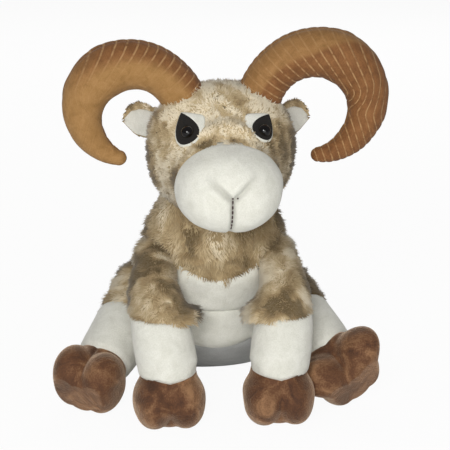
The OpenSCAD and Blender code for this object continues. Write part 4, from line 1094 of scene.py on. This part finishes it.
# front leg: shoulder to hoof on a parabola, then straight down; the sleeve ends on a level line
frontLeg = dict(shoulder=(43.5, -70, 104), bend=(48, -130, 80), end=(39, -132, 38), below=76, shoulderD=30,
                sleeveD=40, legD=42, sleeveZ=73, flare=7.5, waist=2.6, skinIn=1.8, sock=(0.9, 1.9, 0.03),
                wrinkle=0.8, dent=(1.3, 14, 17), sockEndZ=34, fillIn=5, fillSpan=(0.42, 1.15), lap=0.03,
                cutSpan=(0.15, 1.45))
sleeveFur = dict(count=19600, length=5.2, radius=0.43, lift=0.75, lay=0.55, droop=0.3, tuft=0.75, curl=0.55,
                 tuftCell=7.0, patch=20.0, contrast=3.6, bright=0.4, soft=0.74, seed=51)
stand = np.array([*frontLeg["end"][:2], 0.0])


# middle line of the leg at k, and its way
def frontCentre(k):
    shoulder, bend, end = (np.array(frontLeg[key], float) for key in ("shoulder", "bend", "end"))
    k = np.asarray(k, float)[..., None]
    j = np.clip(k, 0, 1)
    p = shoulder * (1 - j) ** 2 + bend * 2 * j * (1 - j) + end * j ** 2
    way = (bend - shoulder) * (1 - j) + (end - bend) * j
    return p - up * frontLeg["below"] * np.maximum(k - 1, 0), unit(np.where(k > 1, -up, way))


# half thickness of the leg, by smoothstep from shoulder to sleeve to sock
def frontHalf(k):
    f = frontLeg
    high, low = blend(f["shoulderD"], f["sleeveD"], ease(2 * k)), blend(f["sleeveD"], f["legD"], ease(2 * k - 1))
    return np.where(k < 0.5, high, low) / 2


# circles square to a way, their first arm towards x
def pathRings(centre, way, radius, turn):
    b = unit(np.cross(way, [1.0, 0, 0]))
    return centre + radius[..., None] * spin(unit(np.cross(b, way)), b, turn)


# a point of the leg's skin at k along it and a turn round it
def frontPoint(k, turn, out=0.0):
    k, turn = np.broadcast_arrays(k, turn)
    return pathRings(*frontCentre(k), frontHalf(k) + out, turn)


# the place along the leg, for each turn, where its skin comes down to a height
def frontCut(height):
    low, high = (np.full_like(legTurn, k) for k in frontLeg["cutSpan"])
    return halved(lambda k: frontPoint(k, legTurn)[..., 2] > height(frontPoint(k, legTurn)[..., 0]), low, high, 34)


sleeveCut = frontCut(lambda x: frontLeg["sleeveZ"])
hoofCut = frontCut(lambda x: hoofTop(x - stand[0]) - 0.5)
share = np.linspace(0, 1, 60)[:, None]
# the sleeve's inner side draws in beside the bib, and its cuff spreads towards the other leg
flare = frontLeg["flare"] * bell(1 - share, 0.2) - frontLeg["waist"] * bell(share - 0.42, 0.2)
flare = flare * np.clip(-np.cos(legTurn), 0, 1) ** 1.5
sleeveSkin = frontPoint(share * sleeveCut, legTurn, flare - frontLeg["skinIn"] - bell(1 - share, 0.04))
sleeveLid = frontPoint(sleeveCut[None] - frontLeg["lap"], legTurn, -8.0)
# half ball behind the shoulder
shoulder, way = frontCentre(0.0)
ballR = frontLeg["shoulderD"] / 2 - frontLeg["skinIn"]
ballMiddles = shoulder - way * (ballR * np.sin(ballTurn))[..., None]
sleeveBall = pathRings(ballMiddles, way, ballR * np.cos(ballTurn), legTurn)
elbow = frontCentre(0.5)[0]
share = np.linspace(0, 1, 44)[:, None]
sockK = sleeveCut - frontLeg["lap"] + share * (np.maximum(hoofCut - sleeveCut, 0.05) + frontLeg["lap"])
wrinkle = frontLeg["wrinkle"] * bell(share - 0.72, 0.08) * np.maximum(0, np.sin(legTurn))
sockSkin = frontPoint(sockK, legTurn, sockSwell(share, *frontLeg["sock"]) - wrinkle)
sockSkin = dented(sockSkin, sockSkin - frontCentre(sockK)[0], share, *frontLeg["dent"])
sockLids = frontPoint(sleeveCut[None] - 0.02, legTurn, -6.0), frontPoint(hoofCut[None] + 0.02, legTurn, -5.0)
fillSteps = np.linspace(*frontLeg["fillSpan"], 40)[:, None]
frontShapes = dict(
    Sleeve=(np.concatenate([sleeveBall, sleeveSkin, sleeveLid]), shoulder - way * ballR, elbow),
    Sock=(np.concatenate([sockLids[0], sockSkin, sockLids[1]]), elbow, stand + up * frontLeg["sockEndZ"]),
    Hoof=[p + stand for p in hoofRings(frontLeg["legD"] / 2, 0.0, 0.2)],
    Filling=(frontPoint(fillSteps, legTurn, -frontLeg["fillIn"]), *(frontCentre(k)[0] for k in frontLeg["fillSpan"])))


# mirror of the toy's left side
def mirrored(p, side):
    return np.asarray(p) * [side, 1, 1]


for word, side in sides:
    place = partial(mirrored, side=side)
    sewLeg("front", word, place, frontShapes)
    root, normal = scatter(np.concatenate([sleeveBall, sleeveSkin]), sleeveFur, None, side)
    # short beside the bib and over the sock, long and turned inwards at the inner side of the cuff; painted light on
    # the inturned tips, to lift the shade they fall in, painted shade at the inner side just before them, and a
    # little lighter on the outer side
    x, z = root[:, 0], root[:, 2]
    inner, cuff = np.clip((40 - x) / 16, 0, 1), ease((88 - z) / 12)
    comb = np.array([0, -0.35, -1.0]) + (inner * cuff)[:, None] * [-1.2, -0.1, 0.3]
    gain = blend(1 - 0.7 * inner, 1 + 0.5 * inner, cuff) * (1 - 0.4 * ease((79 - z) / 6) * (1 - inner))
    shade = 0.5 * ease((26 - x) / 8) - 0.25 * bell(x - 33, 6) * cuff + 0.12 * ease((x - 44) / 12)
    furCoat(f"frontSleeveFur_{word}", f"front_leg_{word}", place, root, normal, comb, sleeveFur, gain, shade)
print("front legs made")

# hind leg: straight from the hip along -y of its own place, tapering by smoothstep, then drooped and splayed
hindLeg = dict(hip=(48, -34, 66), long=94, ankle=75, hipD=52, legD=41, thighEnd=35.7, skinIn=1.8, floor=0.15,
               sock=(0.8, 1.8, 0.04), dent=(1.4, 13), dentSeed=19, sockSpan=(38, 76), fillIn=5, fillSpan=(44, 90),
               left=dict(hoofZ=24.5, splay=30, roll=38, toes=0.7, web=-0.3),
               right=dict(hoofZ=22, splay=33, roll=8, toes=0.1, web=0.05))
thighFur = dict(count=15000, length=5.4, radius=0.44, lift=0.7, lay=0.6, droop=0.35, tuft=0.75, curl=0.55,
                tuftCell=7.0, patch=18.0, contrast=2.8, bright=0.12, soft=0.74, seed=61)


# a point of the leg's skin at s along it and a turn round it
def hindPoint(s, turn, out=0.0):
    s, turn = np.broadcast_arrays(s, turn)
    r = blend(hindLeg["hipD"], hindLeg["legD"], ease(s / hindLeg["ankle"])) / 2 + out
    return np.stack([r * np.cos(turn), -s, r * np.sin(turn)], -1)


# from the hoof's own standing place to the leg's place
def hoofOnLeg(p, roll):
    p = np.asarray(p, float) - up * hoofShape["high"]
    return turned(turned(p, (1, 0, 0), -90), (0, 1, 0), -roll) - [0, hindLeg["ankle"], 0]


# from the leg's own place to the toy's, kept above the floor
def inHind(p, word, side):
    form = hindLeg[word]
    droop = math.degrees(math.asin((hindLeg["hip"][2] - form["hoofZ"]) / hindLeg["long"]))
    p = turned(turned(p, (1, 0, 0), droop), up, form["splay"]) + hindLeg["hip"]
    return np.maximum(p, [-1e3, -1e3, hindLeg["floor"]]) * [side, 1, 1]


ankleR, thighEnd = hindLeg["legD"] / 2, hindLeg["thighEnd"]
hipR = hindLeg["hipD"] / 2 - hindLeg["skinIn"]
hipBall = hipR * np.stack([np.cos(ballTurn) * np.cos(legTurn), np.sin(ballTurn) + 0 * legTurn,
                           np.cos(ballTurn) * np.sin(legTurn)], -1)
s = np.linspace(0, thighEnd, 34)[:, None]
thighSkin = hindPoint(s, legTurn, -hindLeg["skinIn"] - 0.9 * bell(s - thighEnd, 1.5))
thighLid = hindPoint(np.array([[thighEnd - 1]]), legTurn, -8.0)
share = np.linspace(0, 1, 40)[:, None]
fillSteps = np.linspace(*hindLeg["fillSpan"], 30)[:, None]
for word, side in sides:
    form, place = hindLeg[word], partial(inHind, word=word, side=side)
    # the sock runs to the hoof's dipping line, turned with the hoof's roll
    hoofLine = hoofTop(ankleR * np.cos(legTurn - math.radians(form["roll"])))
    end = hindLeg["ankle"] + hoofShape["high"] - hoofLine[None] + 0.5
    sockSkin = hindPoint(blend(thighEnd - 1.5, end, share), legTurn, sockSwell(share, *hindLeg["sock"]))
    sockSkin = dented(sockSkin, sockSkin * [1, 0, 1], share, *hindLeg["dent"], hindLeg["dentSeed"] + side)
    sockLids = hindPoint(np.array([[thighEnd - 1]]), legTurn, -6.0), hindPoint(end + 1, legTurn, -5.0)
    sewLeg("hind", word, place, dict(
        Thigh=(np.concatenate([hipBall, thighSkin, thighLid]), (0, hipR, 0), (0, 2 - thighEnd, 0)),
        Sock=(np.concatenate([sockLids[0], sockSkin, sockLids[1]]), *((0, -k, 0) for k in hindLeg["sockSpan"])),
        Hoof=[hoofOnLeg(p, form["roll"]) for p in hoofRings(ankleR, form["toes"], form["web"])],
        Filling=(hindPoint(fillSteps, legTurn, -hindLeg["fillIn"]), *((0, -k, 0) for k in hindLeg["fillSpan"]))))
    root, normal = scatter(np.concatenate([hipBall, thighSkin]), thighFur, None, side)
    furCoat(f"hindThighFur_{word}", f"hind_leg_{word}", place, root, normal, [0, -1.0, -0.3], thighFur)
print("hind legs made")

# tail: flat ovals along a tongue that hangs from its hinge
tailShape = dict(hinge=(0, 18.345, 58), long=34, wide=20, thick=9, way=(0, 0.5, -0.86), sideIn=1.2, flatIn=1.0,
                 at=(0, 0.2, 0.45, 0.7, 0.88, 1), share=(0.96, 1, 1.1, 1, 0.72, 0.3))
tailFur = dict(count=2600, length=5.4, radius=0.44, lift=0.5, lay=0.9, droop=0.4, tuft=0.5, curl=0.5, tuftCell=6.0,
               patch=14.0, contrast=2.4, bright=0.45, soft=0.74, seed=81)
s = np.linspace(-0.1, 0.99, 30)[:, None, None]
share = np.interp(np.clip(s, 0, 1), tailShape["at"], tailShape["share"])
way = unit(np.array(tailShape["way"]))
halfWide = tailShape["wide"] / 2 * share - tailShape["sideIn"]
halfThick = tailShape["thick"] / 2 * np.minimum(share, 1) - tailShape["flatIn"]
tailRings = np.array(tailShape["hinge"]) + way * s * tailShape["long"]
tailRings = tailRings + spin(halfWide * [1.0, 0, 0], halfThick * unit(np.cross(way, [1.0, 0, 0])), fullTurn(48))
tail = ringSkin("tailSkin", tailRings, tailRings[0].mean(0), tailRings[-1].mean(0) + way, tanSkin)
sew(tail, "tail", "tail")
furCoat("tailFur", "tail", np.asarray, *scatter(tailRings, tailFur), way, tailFur)


# height of the bib's top edge over a place of the body
def bibEdge(p):
    return bibTop(np.clip(np.abs(p[:, 0]) / bib["halfHigh"], 0, 1))


# fur of the body: none under the white panels, on the seat or inside the head
def bareBody(p, n):
    half = bibHalf(np.maximum(p[:, 2], bib["seamZ"]))
    white = (p[:, 1] < -torsoRow(p[:, 2])[0]) & (np.abs(p[:, 0]) < half - 0.5) & (p[:, 2] < bibEdge(p))
    return ~white & (p[:, 2] > seatEdge(p[:, 1]) - 0.5) & (headNorm(toHead(p)) > 0.86)


root, normal = scatter(bodyRings, torsoFur, bareBody)
ahead = root[:, 1] < -torsoRow(root[:, 2])[0]
# longer over the bib's top edge, with one tongue near the middle; a little lighter just over the bib's edge, and
# painted shadow under the chin
over = root[:, 2] - bibEdge(root)
gain = 1 + ahead * bell(over - 2, 4) * (0.9 * bell(root[:, 0] - 4, 5) - 0.1)
shade = ahead * (0.12 * bell(over, 9) - 0.22 * bell(root[:, 2] - 128, 12))
for word, part in (("front", ahead), ("back", ~ahead)):
    furCoat(f"bodyFur_{word}", "torso", np.asarray, root[part], normal[part], -up, torsoFur, gain[part], shade[part])


# fur of the head: none on the muzzle, the eye patches, under the horns' roots or where the neck joins
def bareHead(p, n):
    good = p[:, 1] > -headShape["seam"] - 0.5
    for side in (-1, 1):
        good &= patchShare(p, side) > 0.97
        good &= np.linalg.norm(p * [side, 1, 1] - hornRoot, axis=1) > hornShape["bare"]
    return good & (np.linalg.norm(inHead(p) - neckMiddle, axis=1) > headShape["neckBare"])


root, normal = scatter(headLocal[:headShape["furRows"]], headFur, bareHead)
# painted light on the crown and the frown's ridge, painted shade in the frown's hollow, on the cheeks and under the
# jaw
x, z = np.abs(root[:, 0]), root[:, 2]
cheek = ease((x - 26) / 14) * ease((18 - z) / 12)
shade = 0.09 * frown(root) + 0.14 * ease((z - 14) / 20) - 0.28 * cheek - 0.18 * ease((-14 - z) / 14)
for word, part in (("face", root[:, 1] < -6), ("back", root[:, 1] >= -6)):
    furCoat(f"headFur_{word}", "head", inHead, root[part], normal[part], [0, 1.0, -0.35], headFur, 1.0, shade[part])
print("fur made")

for word, side in sides:
    for node, finish in ((f"eye_{word}", eyePlastic), (f"eye_washer_{word}", washerPlastic)):
        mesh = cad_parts[node].data
        mesh.materials.clear()
        mesh.materials.append(finish)


# puts an object into the scene at a place, looking along a way
def setUp(name, data, place, way):
    made = bpy.data.objects.new(name, data)
    made.location = Vector(place)
    made.rotation_euler = Vector(way).to_track_quat("-Z", "Y").to_euler()
    bpy.context.scene.collection.objects.link(made)
    return made


# camera: on the photograph's line of sight, a little to the toy's right and above it
viewing = dict(turn=5.5, height=15.0, distance=1200.0, focus=(0, -98, 134.06), shiftRight=6 / 1.4, pixels=450,
               focal=1680.0)
turn, height = math.radians(viewing["turn"]), math.radians(viewing["height"])
ahead = np.array([math.sin(turn) * math.cos(height), math.cos(turn) * math.cos(height), -math.sin(height)])
aim = viewing["focus"] + np.array([math.cos(turn), -math.sin(turn), 0]) * viewing["shiftRight"]
camera = bpy.data.cameras.new("photoCamera")
camera.sensor_fit = "HORIZONTAL"
camera.angle = 2 * math.atan(viewing["pixels"] / 2 / viewing["focal"])
camera.clip_start, camera.clip_end = 0.01, 50
bpy.context.scene.camera = setUp("photoCamera", camera, (aim - ahead * viewing["distance"]) * 0.001, ahead)

# studio: a pale floor that keeps a soft shadow, an even sky and three soft lamps as place, size and power
studio = dict(sky=0.28, floor="#fbfbfa", half=6, glow=0.94, haze=0.97, aim=(0, -0.09, 0.13),
              lamps=dict(key=((-0.4, -1.55, 0.72), 0.6, 14.6), fill=((0.2, -1.6, 0.3), 0.8, 5.0),
                         back=((0.3, 1.6, 1.0), 1.4, 9.0)))
floorMesh = bpy.data.meshes.new("studioFloor")
half = studio["half"]
floorMesh.from_pydata([(-half, -half, 0), (half, -half, 0), (half, half, 0), (-half, half, 0)], [], [(0, 1, 2, 3)])
paint = Paint("studioFloor")
floorMesh.materials.append(paint.cover(Base_Color=tint(studio["floor"]), Roughness=0.9))
white = paint.node("ShaderNodeEmission", {}, {"Color": (1, 1, 1, 1), "Strength": 1.0})
plain = Wire(paint, paint.shader.outputs[0])
both = paint.node("ShaderNodeMixShader", {}, {0: paint.seen() * studio["glow"], 1: plain, 2: white})
paint.feed(paint.tree.nodes["Material Output"].inputs["Surface"], both)
floor = bpy.data.objects.new("studioFloor", floorMesh)
bpy.context.scene.collection.objects.link(floor)

sky = Paint("studioSky", "worlds")
bpy.context.scene.world = sky.owner
background = sky.tree.nodes["Background"]
background.inputs["Color"].default_value = (1, 1, 1, 1)
sky.feed(background.inputs["Strength"], sky.seen() * (studio["haze"] - studio["sky"]) + studio["sky"])
for name, (place, size, power) in studio["lamps"].items():
    lamp = bpy.data.lights.new(name, "AREA")
    lamp.shape, lamp.size, lamp.energy = "DISK", size, power
    setUp(name, lamp, place, Vector(studio["aim"]) - Vector(place))
bpy.context.scene.view_settings.view_transform = "Standard"
print("camera and studio set")
